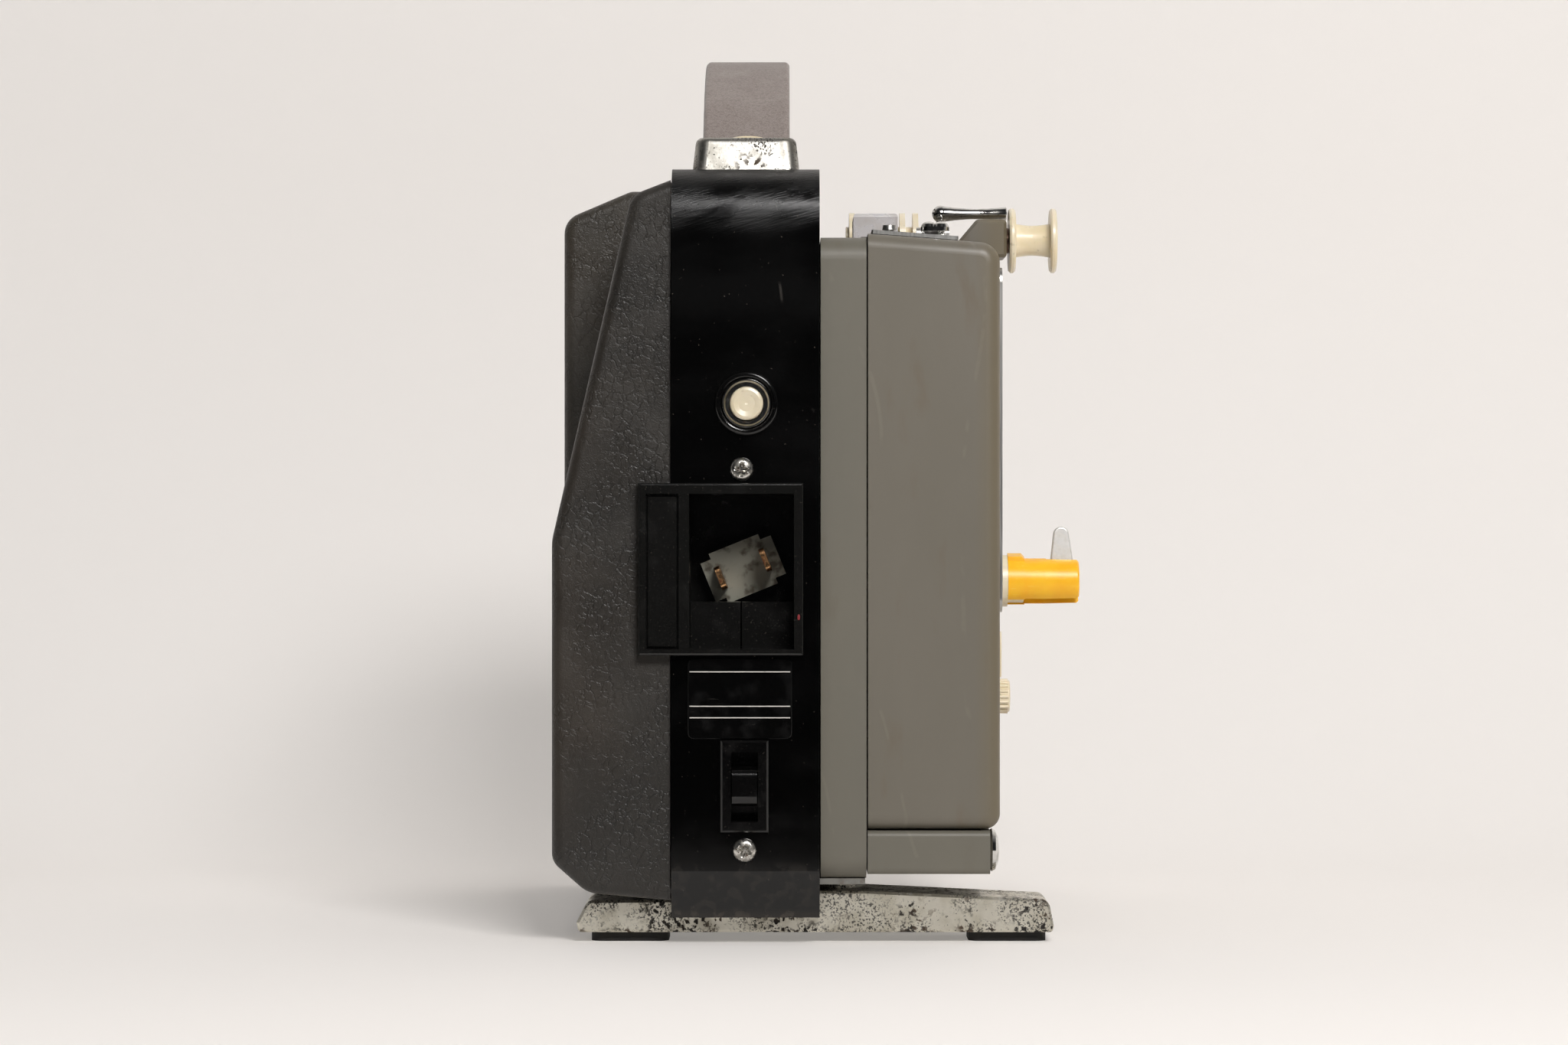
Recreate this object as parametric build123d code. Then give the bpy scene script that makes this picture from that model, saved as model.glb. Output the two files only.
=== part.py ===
from build123d import *
import math
import os

# A compact 8 mm film projector with its real size in millimetres.
# The rear faces -Y, the lens points along +Y, the film side is +X and +Z is up.
# X counts from the middle of the black band until the last step,
# which moves the origin under the middle of the whole object.

# Body sizes
rear_y = -100.0
body_depth = 196.0
band_width = 38.8
band_wall = 2.0
band_top = 204.0
band_foot = 7.2
band_bend = 13.5
band_tilt_top = 19.6
band_tilt_step = 3.2
band_lip = 6.0
joint_gap = 0.3
cover_wall = 2.4
cover_setback = 1.5
front_y = rear_y + body_depth
band_half = band_width / 2

# Motor side
motor_side_width = 31.4
motor_side_floor = 11.6
motor_side_rise = 2.0
motor_side_chamfer_x = 9.3
motor_side_chamfer_z = 10.2
slant_low = 106.0
slant_high = 196.5
slant_run = 20.8
motor_side_top = 200.5
step_depth = 77.0
lamp_cover_foot = 58.0
lamp_cover_extra = 0.5
lamp_cover_shoulder = 195.3
lamp_cover_slope = 18.6
lamp_cover_gap = 0.3
louvre_count = 9
louvre_pitch = 9.0
louvre_height = 3.0
louvre_length = 46.0

# Film side
chassis_depth_x = 12.0
chassis_web = 3.0
chassis_rim = 3.0
chassis_foot = 17.2
chassis_top = 185.7
film_setback = 3.0
mechanism_width = 34.7
mechanism_top = 186.6
mechanism_fall = 2.6
mechanism_corner = 5.5
mechanism_foot = 30.2
mechanism_edge = 4.0
split_gap = 0.4
control_box_width = 32.4
control_box_foot = 18.5
fascia_thick = 0.8


def span_box(x, y, z):
    """A block that spans the three (low, high) pairs."""
    size = [pair[1] - pair[0] for pair in (x, y, z)]
    middle = [(pair[0] + pair[1]) / 2 for pair in (x, y, z)]
    return Pos(*middle) * Box(*size)


def rod_x(radius, x, y, z):
    """A cylinder along X between the pair x, through (y, z)."""
    return Pos((x[0] + x[1]) / 2, y, z) * Rot(0, 90, 0) * Cylinder(radius, x[1] - x[0])


def rod_y(radius, y, x, z):
    """A cylinder along Y between the pair y, through (x, z)."""
    return Pos(x, (y[0] + y[1]) / 2, z) * Rot(90, 0, 0) * Cylinder(radius, y[1] - y[0])


def rod_z(radius, z, x, y):
    """A cylinder along Z between the pair z, through (x, y)."""
    return Pos(x, y, (z[0] + z[1]) / 2) * Cylinder(radius, z[1] - z[0])


def turned_x(profile, y, z):
    """A solid turned about the X direction through (y, z) from (x, radius) points."""
    face = make_face(Polyline(*profile, close=True))
    return Pos(0, y, z) * revolve(face, Axis.X, 360)


def turned_y(profile, x, z):
    """A solid turned about the Y direction through (x, z) from (y, radius) points."""
    face = make_face(Polyline(*[(radius, y) for y, radius in profile], close=True))
    return Pos(x, 0, z) * revolve(face, Axis.Y, 360)


def turned_z(profile, x, y):
    """A solid turned about the Z direction through (x, y) from (z, radius) points."""
    points = [(radius, 0, z) for z, radius in profile]
    face = make_face(Polyline(*points, close=True))
    return Pos(x, y, 0) * revolve(face, Axis.Z, 360)


def drawn(points, radii, plane, low, high):
    """A profile with rounded corners, drawn on a plane's axes and pulled from low to high."""
    line = FilletPolyline(*points, radius=radii, close=True)
    face = make_face(plane.from_local_coords(line))
    return extrude(face, amount=high - low, dir=plane.z_dir).moved(Location(plane.z_dir * low))


# Plane axes for profiles: along_y draws (x, z), along_x draws (y, z), along_z draws (x, y)
along_y = Plane(origin=(0, 0, 0), x_dir=(1, 0, 0), z_dir=(0, -1, 0))
along_x = Plane(origin=(0, 0, 0), x_dir=(0, 1, 0), z_dir=(1, 0, 0))
along_z = Plane.XY


def prism_y(points, radii, y):
    """An (x, z) profile pulled along Y over the pair y."""
    return drawn(points, radii, along_y, -y[1], -y[0])


def prism_x(points, radii, x):
    """A (y, z) profile pulled along X over the pair x."""
    return drawn(points, radii, along_x, x[0], x[1])


def prism_z(points, radii, z):
    """An (x, y) profile pulled along Z over the pair z."""
    return drawn(points, radii, along_z, z[0], z[1])


nodes = {}


def keep(name, shape):
    """Keeps a sub-part under its node name."""
    nodes[name] = shape
    return shape


# Places that follow from the body sizes
motor_side_in = -(band_half + joint_gap)
motor_side_out = -(band_half + motor_side_width)
cover_rear = rear_y + cover_setback
cover_front = front_y - cover_setback
step_y = rear_y + step_depth
chassis_in = band_half + joint_gap
chassis_out = chassis_in + chassis_depth_x
mechanism_in = chassis_out + split_gap
mechanism_out = mechanism_in + mechanism_width
film_rear = rear_y + film_setback
film_front = front_y - film_setback

# Rear panel
button_x = 0.3
button_z = 141.8
bezel_radius = 8.35
bezel_barrel = 7.3
bezel_proud = 1.3
ring_radius = 6.45
ring_bore = 4.65
ring_proud = 1.7
groove_radius = 5.55
groove_depth = 2.2
button_radius = 4.35
button_proud = 2.9
button_travel = 2.2
fit_gap = 0.1
screw_head = 3.1
screw_head_high = 1.6
screw_shank = 1.5
screw_length = 9.0
upper_screw = (-1.0, 124.6)
lower_screw = (-0.2, 25.1)
inlet_left = -28.0
inlet_right = 15.1
inlet_top = 121.0
inlet_proud = 2.5
inlet_wall = 1.7
inlet_border = 1.6
recess_left = -14.7
recess_right = 12.7
recess_top = 118.2
recess_depth = 30.0
pocket_left = -26.0
pocket_right = -17.4
pocket_depth = 1.6
switch_left = -6.5
switch_right = 6.0
switch_foot = 29.8
switch_top = 53.8
switch_proud = 1.2
switch_slot = 7.0
switch_slot_length = 18.2
slider_width = 6.5
slider_length = 10.1
slider_proud = 2.4

# Optical line and drive, placed by their axes
lens_x = 44.0
lens_z = 95.0
main_y = -30.0
main_z = 62.6
main_radius = 2.0
take_up_y = -45.0
take_up_z = 94.7
arm_pivot_y = front_y - 14.0
arm_pivot_z = 160.0
arm_reach = 67.0
gear_module = 1.15
main_teeth = 20
sprocket_teeth = 40
sprocket_angle = -20.0
running_gap = 0.05
lamp_y = front_y - 66.0
beam_radius = 9.0
focus_y = front_y - 15.0
focus_z = 72.0
door_rear = front_y - 74.0
door_front = front_y - 24.0
door_foot = 66.0
door_top = 126.0
door_gap = 0.4

hinge_y = door_rear
lever_x = 52.4
lever_y = -60.0
lever_stem = 1.2
hinge_pin = 0.8
knuckle_radius = 1.6
hinge_x = mechanism_out + knuckle_radius + 0.15
cover_knuckles = [(70.0, 77.0), (92.0, 100.0), (115.0, 122.0)]
door_knuckles = [(77.3, 91.7), (100.3, 114.7)]
holder_radius = 16.2
shaft_bore = 1.95
function_y = -86.0
function_z = 24.2
stator_right = -2.0
motor_y = -56.0
motor_z = 48.0
motor_size = 50.0
motor_headroom = 3.75
recess_foot = motor_z + motor_size / 2 + motor_headroom + inlet_wall / 2
inlet_foot = recess_foot - inlet_border
post_radius = 2.5
post_reach = 21.0
bearing_radius = 5.0
bearing_boss = 1.6
shutter_lift = 16.4
shutter_z = main_z + shutter_lift
shutter_bearings = [(main_y + 10.0, main_y + 16.0), (lamp_y - 20.0, lamp_y - 14.0)]
mirror_size = 21.0
mirror_thick = 2.0
motor_posts = [
    (motor_y - post_reach, motor_z - post_reach),
    (motor_y - post_reach, motor_z + post_reach),
    (motor_y + post_reach, motor_z - post_reach),
]

gear_distance = gear_module * (main_teeth + sprocket_teeth) / 2
sprocket_y = main_y + gear_distance * math.cos(math.radians(sprocket_angle))
sprocket_z = main_z + gear_distance * math.sin(math.radians(sprocket_angle))


def end_edges(solid, axis, index, keep_off, limit):
    """The edges round one end face, without those that lie on a plane given by keep_off."""
    face = solid.faces().sort_by(axis)[index]
    chosen = []
    for edge in face.outer_wire().edges():
        if abs(edge.center().X - keep_off) > limit:
            chosen.append(edge)
    return chosen


def spine_band():
    """The glossy band: an upside-down U with a lip at each foot and openings in its rear wall."""
    def loop(inset, radius, foot, x):
        points = [
            (rear_y + band_tilt_step + inset, foot),
            (rear_y + inset, band_tilt_top),
            (rear_y + inset, band_top - inset),
            (front_y - inset, band_top - inset),
            (front_y - inset, band_tilt_top),
            (front_y - band_tilt_step - inset, foot),
        ]
        return prism_x(points, [0, 0, radius, radius, 0, 0], x)

    band = loop(0, band_bend, band_foot, (-band_half, band_half))
    band -= loop(band_wall, band_bend - band_wall, band_foot - 1, (-band_half - 1, band_half + 1))
    lip_z = (band_foot, band_foot + band_wall)
    rear_lip = rear_y + band_tilt_step + 0.5
    front_lip = front_y - band_tilt_step - 0.5
    band += span_box((-band_half, band_half), (rear_lip, rear_lip + band_lip), lip_z)
    band += span_box((-band_half, band_half), (front_lip - band_lip, front_lip), lip_z)
    through = (rear_y - 1, rear_y + band_wall + 1)
    band -= rod_y(bezel_barrel + fit_gap, through, button_x, button_z)
    for x, z in (upper_screw, lower_screw):
        band -= rod_y(screw_shank + fit_gap, through, x, z)
    band -= span_box(
        (recess_left - inlet_wall - fit_gap, recess_right + inlet_wall + fit_gap),
        through,
        (recess_foot - inlet_wall / 2 - fit_gap, recess_top + inlet_wall / 2 + fit_gap),
    )
    band -= span_box(
        (switch_left + 1.2 - fit_gap, switch_right - 1.2 + fit_gap),
        through,
        (switch_foot + 1.2 - fit_gap, switch_top - 1.2 + fit_gap),
    )
    return band


def motor_side_profile(foot_only):
    """The (x, z) outline of the motor side, whole or only below the lamp cover."""
    floor = [
        (motor_side_in, motor_side_floor),
        (motor_side_out + motor_side_chamfer_x, motor_side_floor + motor_side_rise),
        (motor_side_out, motor_side_floor + motor_side_chamfer_z),
    ]
    if foot_only:
        ceiling = lamp_cover_foot - lamp_cover_gap
        return floor + [(motor_side_out, ceiling), (motor_side_in, ceiling)], [0, 8, 5, 0, 0]
    upper = [
        (motor_side_out, slant_low),
        (motor_side_out + slant_run, slant_high),
        (motor_side_in, motor_side_top),
    ]
    return floor + upper, [0, 8, 5, 14, 6, 0]


def inset_prism_y(points, radii, inset, y):
    """The same profile drawn smaller by a wall all round and pulled along Y."""
    line = FilletPolyline(*points, radius=radii, close=True)
    face = make_face(along_y.from_local_coords(line))
    smaller = offset(face, amount=-inset).faces()[0]
    start = Pos(0, y[0], 0) * smaller
    return extrude(start, amount=y[1] - y[0], dir=(0, 1, 0))


def motor_side_cover():
    """The grained cover of the motor side: a shell that is open towards the band."""
    points, radii = motor_side_profile(False)
    low_points, low_radii = motor_side_profile(True)
    rear_part = prism_y(points, radii, (cover_rear, step_y))
    rear_part = fillet(end_edges(rear_part, Axis.Y, 0, motor_side_in, 0.01), 3.0)
    front_part = prism_y(low_points, low_radii, (step_y, cover_front))
    cover = rear_part + front_part
    inner_rear = inset_prism_y(points, radii, cover_wall, (cover_rear + cover_wall, step_y + 1))
    inner_low = inset_prism_y(
        low_points, low_radii, cover_wall, (cover_rear + cover_wall, cover_front - cover_wall)
    )
    for inner in (inner_rear, inner_low):
        for shift in (0, 2 * cover_wall):
            cover -= Pos(shift, 0, 0) * inner
    return cover


def lamp_cover():
    """The lift-off block over the lamp, with louvres in its side."""
    left = motor_side_out - lamp_cover_extra
    crown = band_top - 0.8
    points = [
        (motor_side_in, lamp_cover_foot),
        (left, lamp_cover_foot),
        (left, lamp_cover_shoulder),
        (left + lamp_cover_slope, crown),
        (motor_side_in, crown),
    ]
    radii = [0, 3.5, 6, 5, 0]
    ends = (step_y + lamp_cover_gap, cover_front)
    cover = prism_y(points, radii, ends)
    cover = fillet(end_edges(cover, Axis.Y, 0, motor_side_in, 0.01), 3.0)
    cover = fillet(end_edges(cover, Axis.Y, -1, motor_side_in, 0.01), 3.0)
    inner = inset_prism_y(points, radii, cover_wall, (ends[0] + cover_wall, ends[1] - cover_wall))
    for shift in (0, 2 * cover_wall):
        cover -= Pos(shift, 0, 0) * inner
    middle_y = (ends[0] + ends[1]) / 2
    first_z = (lamp_cover_foot + lamp_cover_shoulder - (louvre_count - 1) * louvre_pitch) / 2
    for index in range(louvre_count):
        z = first_z + index * louvre_pitch
        cover -= span_box(
            (left - 1, left + cover_wall + 1),
            (middle_y - louvre_length / 2, middle_y + louvre_length / 2),
            (z - louvre_height / 2, z + louvre_height / 2),
        )
    return cover


def mirror_carrier(from_x):
    """The wedge that holds the mirror at 45 degrees, with its arm from the web."""
    reach = mirror_size / 2 * math.sqrt(0.5) + 1.5
    back = mirror_thick * math.sqrt(0.5)
    points = [
        (lens_x - reach + back, lamp_y - reach - back),
        (lens_x + reach + back, lamp_y + reach - back),
        (lens_x + reach + back, lamp_y - reach - back),
    ]
    height = (lens_z - mirror_size / 2, lens_z + mirror_size / 2)
    wedge = prism_z(points, 0.5, height)
    arm_y = (lamp_y - reach - back, lamp_y - reach - back + 3)
    arm = span_box((from_x, lens_x), (arm_y[0] - 4, arm_y[0] + 0.6), height)
    return wedge + arm


def main_chassis():
    """The grey cast chassis: a web with a rim, bearing bosses and a window for the beam."""
    def tray(inset, x):
        points = [
            (film_rear + inset, chassis_foot + inset),
            (film_front - inset, chassis_foot + inset),
            (film_front - inset, chassis_top - inset),
            (film_rear + inset, chassis_top - inset),
        ]
        return prism_x(points, 6.0 - inset, x)

    chassis = tray(0, (chassis_in, chassis_out))
    chassis -= tray(chassis_rim, (chassis_in + chassis_web, chassis_out + 1))
    web_face = chassis_in + chassis_web
    corner_y = (film_rear + 9, film_front - 9)
    corner_z = (chassis_foot + 16, chassis_top - 12)
    for y in corner_y:
        for z in corner_z:
            chassis += rod_x(4.0, (web_face - 0.5, chassis_out - 2), y, z)
    for y, z in motor_posts:
        chassis += rod_x(post_radius, (stator_right, chassis_in + 1), y, z)
    for ends in shutter_bearings:
        block = span_box(
            (web_face - 0.5, lens_x + 4), ends, (shutter_z - 4, shutter_z + 4)
        )
        chassis += block - rod_y(main_radius + running_gap, (ends[0] - 1, ends[1] + 1), lens_x, shutter_z)
    chassis += mirror_carrier(web_face - 0.5)
    bearings = [(main_y, main_z), (sprocket_y, sprocket_z), (take_up_y, take_up_z)]
    for y, z in bearings:
        chassis += rod_x(bearing_radius, (web_face - 0.5, web_face + bearing_boss), y, z)
    for y, z in bearings:
        chassis -= rod_x(main_radius + running_gap, (stator_right, web_face + bearing_boss + 1), y, z)
    chassis -= rod_x(beam_radius, (chassis_in - 1, web_face + 1), lamp_y, lens_z)
    front_rim = (film_front - chassis_rim - 1, film_front + 1)
    return chassis - rod_y(holder_radius + 0.4, front_rim, lens_x, lens_z)


def mechanism_block():
    """The outer form of the film side: its top falls a little towards the outer edge."""
    points = [
        (mechanism_in, mechanism_foot),
        (mechanism_out, mechanism_foot),
        (mechanism_out, mechanism_top - mechanism_fall),
        (mechanism_in, mechanism_top),
    ]
    radii = [0, mechanism_edge, mechanism_corner, 0]
    block = prism_y(points, radii, (film_rear, film_front))
    rounded = end_edges(block, Axis.Y, 0, mechanism_in, 0.01)
    rounded += end_edges(block, Axis.Y, -1, mechanism_in, 0.01)
    return fillet(rounded, mechanism_edge - 0.2)


def knuckle(z, side):
    """One hinge knuckle over the pair z, with its leaf towards -Y or +Y."""
    shape = rod_z(knuckle_radius, z, hinge_x, hinge_y)
    leaf = (hinge_y, hinge_y + side * 4.0)
    return shape + span_box((mechanism_out - 0.1, hinge_x), (min(leaf), max(leaf)), z)


def mechanism_cover():
    """The grey shell of the film side, open towards the chassis."""
    cover = mechanism_block()
    cover -= span_box(
        (mechanism_in - 1, mechanism_out - cover_wall),
        (film_rear + cover_wall, film_front - cover_wall),
        (mechanism_foot + cover_wall, mechanism_top - mechanism_fall - cover_wall),
    )
    side = (mechanism_out - cover_wall - 1, mechanism_out + 1)
    cover -= span_box(side, (door_rear, door_front), (door_foot, door_top))
    cover -= rod_x(main_radius + 1.0, side, main_y, main_z)
    cover -= rod_x(4.5, side, take_up_y, take_up_z)
    cover -= rod_x(4.0 + running_gap, side, arm_pivot_y, arm_pivot_z)
    cover -= rod_x(2.0 + running_gap, side, focus_y, focus_z)
    cover -= rod_y(holder_radius + 0.4, (film_front - cover_wall - 1, film_front + 1), lens_x, lens_z)
    top_wall = (mechanism_top - 3 * mechanism_fall, mechanism_top + 1)
    cover -= rod_z(lever_stem + running_gap, top_wall, lever_x, lever_y)
    for z in cover_knuckles:
        cover += knuckle(z, -1)
    return cover + rod_z(hinge_pin, (cover_knuckles[0][0], cover_knuckles[-1][1]), hinge_x, hinge_y)


def control_box():
    """The low box under the film side that carries the function knob."""
    right = chassis_out + control_box_width
    top = mechanism_foot - joint_gap
    ends = (film_rear, film_front - 34)
    box = span_box((mechanism_in - 0.1, right), ends, (control_box_foot, top))
    box = fillet(box.edges().filter_by(Axis.X), 1.6)
    box -= span_box(
        (mechanism_in + 1.9, right - 2.2),
        (ends[0] + 2.2, ends[1] - 2.2),
        (control_box_foot + 2.2, top + 1),
    )
    return box - rod_x(shaft_bore, (right - 3, right + 1), function_y, function_z)


keep("spine_band", spine_band())
keep("motor_side_cover", motor_side_cover())
keep("lamp_cover", lamp_cover())
keep("main_chassis", main_chassis())
keep("mechanism_cover", mechanism_cover())
keep("control_box", control_box())


# Rear leg, front foot and their rubber feet
leg_left = -44.7
leg_right = 81.3
front_foot_half = 18.0
front_screw_x = (-9.0, 9.0)
front_sole = 5.0
front_slope = 2.4
leg_foot = 2.6
leg_crown = 13.5
leg_shoulder = 11.2
leg_depth = 24.0
leg_setback = 11.0
leg_bevel = 0.7
leg_wall = 3.5
leg_screw_x = (-8.0, 24.0)
pad_radius = 5.0
foot_length = 20.5
foot_width = 17.0
front_pad_length = 8.0
foot_inset = 1.9
bottom_plate_thick = 1.6
plate_bottom = chassis_foot - bottom_plate_thick
rear_leg_y = (rear_y + leg_setback, rear_y + leg_setback + leg_depth)
front_foot_y = (front_y - leg_setback - leg_depth, front_y - leg_setback)
leg_screws_at = [(x, sum(rear_leg_y) / 2) for x in leg_screw_x]
leg_screws_at += [(x, sum(front_foot_y) / 2) for x in front_screw_x]

# Carrying handle
strap_width = 23.2
strap_thick = 5.0
strap_seat = 3.2
strap_rise = 33.5
strap_foot = band_top + strap_seat
strap_top = strap_foot + strap_rise
strap_span = 144.0
end_length = 28.3
end_top_length = 26.4
end_depth = 25.0
end_top_depth = 21.0
end_height = 8.8
slot_gap = 0.35
pin_radius = 1.5
handle_y = (rear_y + front_y) / 2


def bottom_plate():
    """The steel sheet that closes the underside and carries the leg and the foot."""
    plate = span_box(
        (-band_half + joint_gap, chassis_out - joint_gap),
        (film_rear + 4, film_front - 4),
        (plate_bottom, chassis_foot),
    )
    for x, y in leg_screws_at:
        plate -= rod_z(screw_shank + fit_gap, (plate_bottom - 1, chassis_foot + 1), x, y)
    return plate


def bevel_both_ends(bar, size):
    """Chamfers the edges round both end faces along Y."""
    edges = bar.faces().sort_by(Axis.Y)[0].outer_wire().edges()
    edges += bar.faces().sort_by(Axis.Y)[-1].outer_wire().edges()
    return chamfer(edges, size)


def screw_pads(bar, places, foot):
    """Adds the pads under the bottom plate and bores them for their screws."""
    for x, y in places:
        bar += rod_z(pad_radius, (foot + screw_head_high + 0.4, plate_bottom), x, y)
        bar -= rod_z(screw_shank + fit_gap, (leg_foot - 1, plate_bottom + 1), x, y)
        bar -= rod_z(screw_head + 0.3, (leg_foot - 1, foot + screw_head_high + 0.4), x, y)
    return bar


def rear_leg():
    """The cast rear leg: a long low bar, hollow below, that reaches out on the film side."""
    points = [
        (leg_left + 0.6, leg_foot),
        (leg_right - 0.4, leg_foot),
        (leg_right, leg_foot + 1.6),
        (leg_right - 1.4, leg_shoulder),
        (chassis_out, leg_crown),
        (-band_half / 3, leg_crown),
        (-band_half, leg_shoulder),
        (leg_left + 3.0, leg_shoulder - 0.2),
        (leg_left, leg_foot + 2.6),
    ]
    radii = [1.0, 0.9, 1.0, 2.6, 0, 0, 0, 2.6, 1.2]
    bar = bevel_both_ends(prism_y(points, radii, rear_leg_y), leg_bevel)
    hollow_x = (leg_left + foot_length + 3 * foot_inset, leg_right - foot_length - 3 * foot_inset)
    hollow_y = (rear_leg_y[0] + leg_wall, rear_leg_y[1] - leg_wall)
    bar -= span_box(hollow_x, hollow_y, (leg_foot - 1, leg_shoulder - leg_wall))
    return screw_pads(bar, leg_screws_at[:2], leg_foot)


def front_foot():
    """The short cast foot under the front of the band, narrow enough to hide behind it."""
    sole = front_foot_half - 1.0
    points = [
        (-sole, leg_foot),
        (sole, leg_foot),
        (front_foot_half, front_sole),
        (front_foot_half - front_slope, leg_shoulder),
        (front_slope - front_foot_half, leg_shoulder),
        (-front_foot_half, front_sole),
    ]
    block = prism_y(points, [1.0, 1.0, 1.2, 2.4, 2.4, 1.2], front_foot_y)
    block = bevel_both_ends(block, leg_bevel)
    neck = front_foot_half - front_slope - 1.0
    neck_y = (front_foot_y[0] + 4.0, front_foot_y[1] - 4.0)
    block += span_box((-neck, neck), neck_y, (leg_shoulder - 0.5, plate_bottom))
    return screw_pads(block, leg_screws_at[2:], front_sole)


def leg_screws():
    """Four screws from below through the leg and the foot into the bottom plate."""
    screws = []
    for index, (x, y) in enumerate(leg_screws_at):
        head_top = (leg_foot if index < 2 else front_sole) + screw_head_high + 0.4
        screw = rod_z(screw_head, (head_top - screw_head_high, head_top), x, y)
        screws.append(screw + rod_z(screw_shank, (head_top - 0.1, chassis_foot), x, y))
    return screws


def rubber_foot(left, length, y):
    """One flat rubber foot with rounded corners from left over its length, about y."""
    points = [
        (left, y - foot_width / 2),
        (left + length, y - foot_width / 2),
        (left + length, y + foot_width / 2),
        (left, y + foot_width / 2),
    ]
    return prism_z(points, 3.0, (0, leg_foot))


def rubber_feet():
    """Two rubber feet under the ends of the rear leg and two under the front foot."""
    rear = sum(rear_leg_y) / 2
    front = sum(front_foot_y) / 2
    reach = front_foot_half - 1.0
    feet = [
        rubber_foot(leg_left + 2.0 * foot_inset, foot_length, rear),
        rubber_foot(leg_right - foot_length - foot_inset, foot_length, rear),
        rubber_foot(-reach, front_pad_length, front),
        rubber_foot(reach - front_pad_length, front_pad_length, front),
    ]
    return Compound(feet)


def strap_arc():
    """The radius and the centre's height of the strap's middle line."""
    rise = strap_top - strap_thick / 2 - strap_foot
    half = strap_span / 2
    radius = (half ** 2 + rise ** 2) / (2 * rise)
    return radius, strap_top - strap_thick / 2 - radius


def strap_arch(extra, x_half):
    """The bowed strap's band between two arcs, grown all round by extra."""
    radius, centre_z = strap_arc()
    outer = rod_x(radius + strap_thick / 2 + extra, (-x_half, x_half), handle_y, centre_z)
    inner = rod_x(radius - strap_thick / 2 - extra, (-x_half - 1, x_half + 1), handle_y, centre_z)
    return outer - inner


def handle_strap():
    """The bowed carrying strap, cut level at both feet and bored for its pins."""
    above_feet = span_box(
        (-strap_width, strap_width),
        (handle_y - strap_span, handle_y + strap_span),
        (strap_foot - 0.5, strap_top + 1),
    )
    arch = strap_arch(0, strap_width / 2) & above_feet
    arcs = arch.edges().filter_by(GeomType.CIRCLE)
    long_edges = [edge for edge in arcs if edge.length > strap_span]
    arch = fillet(long_edges, 1.4)
    for side in (-1, 1):
        y, z = strap_pin(side)
        arch -= rod_x(pin_radius + running_gap, (-strap_width, strap_width), y, z)
    return arch


def strap_pin(side):
    """The (y, z) of one handle pin, on the strap's middle line near its foot."""
    radius, centre_z = strap_arc()
    z = band_top + end_height / 2 + 1.2
    return handle_y + side * math.sqrt(radius ** 2 - (z - centre_z) ** 2), z


def handle_end(side):
    """One chrome end piece: a tapered block on the band with a slot for the strap."""
    centre_y = handle_y + side * (strap_span / 2 - 1.0)
    base = Pos(0, centre_y, band_top) * Rectangle(end_length, end_depth)
    top = Pos(0, centre_y, band_top + end_height) * Rectangle(end_top_length, end_top_depth)
    block = loft([fillet(base.vertices(), 3.5), fillet(top.vertices(), 3.5)])
    top_face = block.faces().sort_by(Axis.Z)[-1]
    block = fillet(top_face.outer_wire().edges(), 1.8)
    arch = strap_arch(slot_gap, strap_width / 2 + slot_gap)
    slot_block = span_box(
        (-end_length, end_length),
        (centre_y - end_depth, centre_y + end_depth),
        (strap_foot - 0.5 - slot_gap, band_top + 2 * end_height),
    )
    block -= arch & slot_block
    y, z = strap_pin(side)
    block -= rod_x(pin_radius + running_gap, (-end_length, end_length), y, z)
    return block


def handle_pins():
    """Two steel pins across the end pieces."""
    pins = []
    for side in (-1, 1):
        y, z = strap_pin(side)
        pins.append(rod_x(pin_radius, (-end_top_length / 2 + 0.6, end_top_length / 2 - 0.6), y, z))
    return pins


keep("bottom_plate", bottom_plate())
keep("rear_leg", rear_leg())
keep("front_foot", front_foot())
keep("rubber_feet", rubber_feet())
keep("handle_strap", handle_strap())
keep("handle_ends", Compound([handle_end(-1), handle_end(1)]))


def button_bezel():
    """The black bezel: a half-round rim with its barrel through the band's rear wall."""
    back_y = rear_y + 8
    bore = ring_radius + running_gap
    middle = (bore + bezel_radius) / 2
    half = (bezel_radius - bore) / 2
    profile = []
    for share in (1.0, 0.75, 0.5, 0.25, 0.0, -0.25, -0.5, -0.75, -1.0):
        rise = (bezel_proud - 0.3) * math.sqrt(1 - (share * 0.96) ** 2)
        profile.append((rear_y - 0.3 - rise, middle - half * share))
    profile += [
        (rear_y, bezel_radius),
        (rear_y, bezel_barrel),
        (back_y, bezel_barrel),
        (back_y, bore),
    ]
    return turned_y(profile, button_x, button_z)


def button_ring():
    """The chrome ring: a thin rim round a deep groove, with a collar that guides the button."""
    face_y = rear_y - ring_proud
    groove_y = rear_y + groove_depth
    return turned_y(
        [
            (face_y + 0.5, groove_radius),
            (face_y, groove_radius + 0.4),
            (face_y, ring_radius - 0.3),
            (face_y + 0.4, ring_radius),
            (rear_y + 8, ring_radius),
            (rear_y + 8, ring_bore),
            (groove_y, ring_bore),
            (groove_y, groove_radius),
        ],
        button_x,
        button_z,
    )


def rear_button():
    """The dished push button, with a flange behind the ring that holds it in."""
    face_y = rear_y - button_proud
    flange_y = rear_y + 8 + joint_gap
    return turned_y(
        [
            (face_y + 0.6, 0),
            (face_y + 0.4, button_radius / 2),
            (face_y, button_radius - 0.9),
            (face_y + 0.2, button_radius - 0.3),
            (face_y + 0.7, button_radius),
            (flange_y, button_radius),
            (flange_y, ring_radius - 0.6),
            (flange_y + 1.0, ring_radius - 0.6),
            (flange_y + 1.0, 0),
        ],
        button_x,
        button_z,
    )


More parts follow.
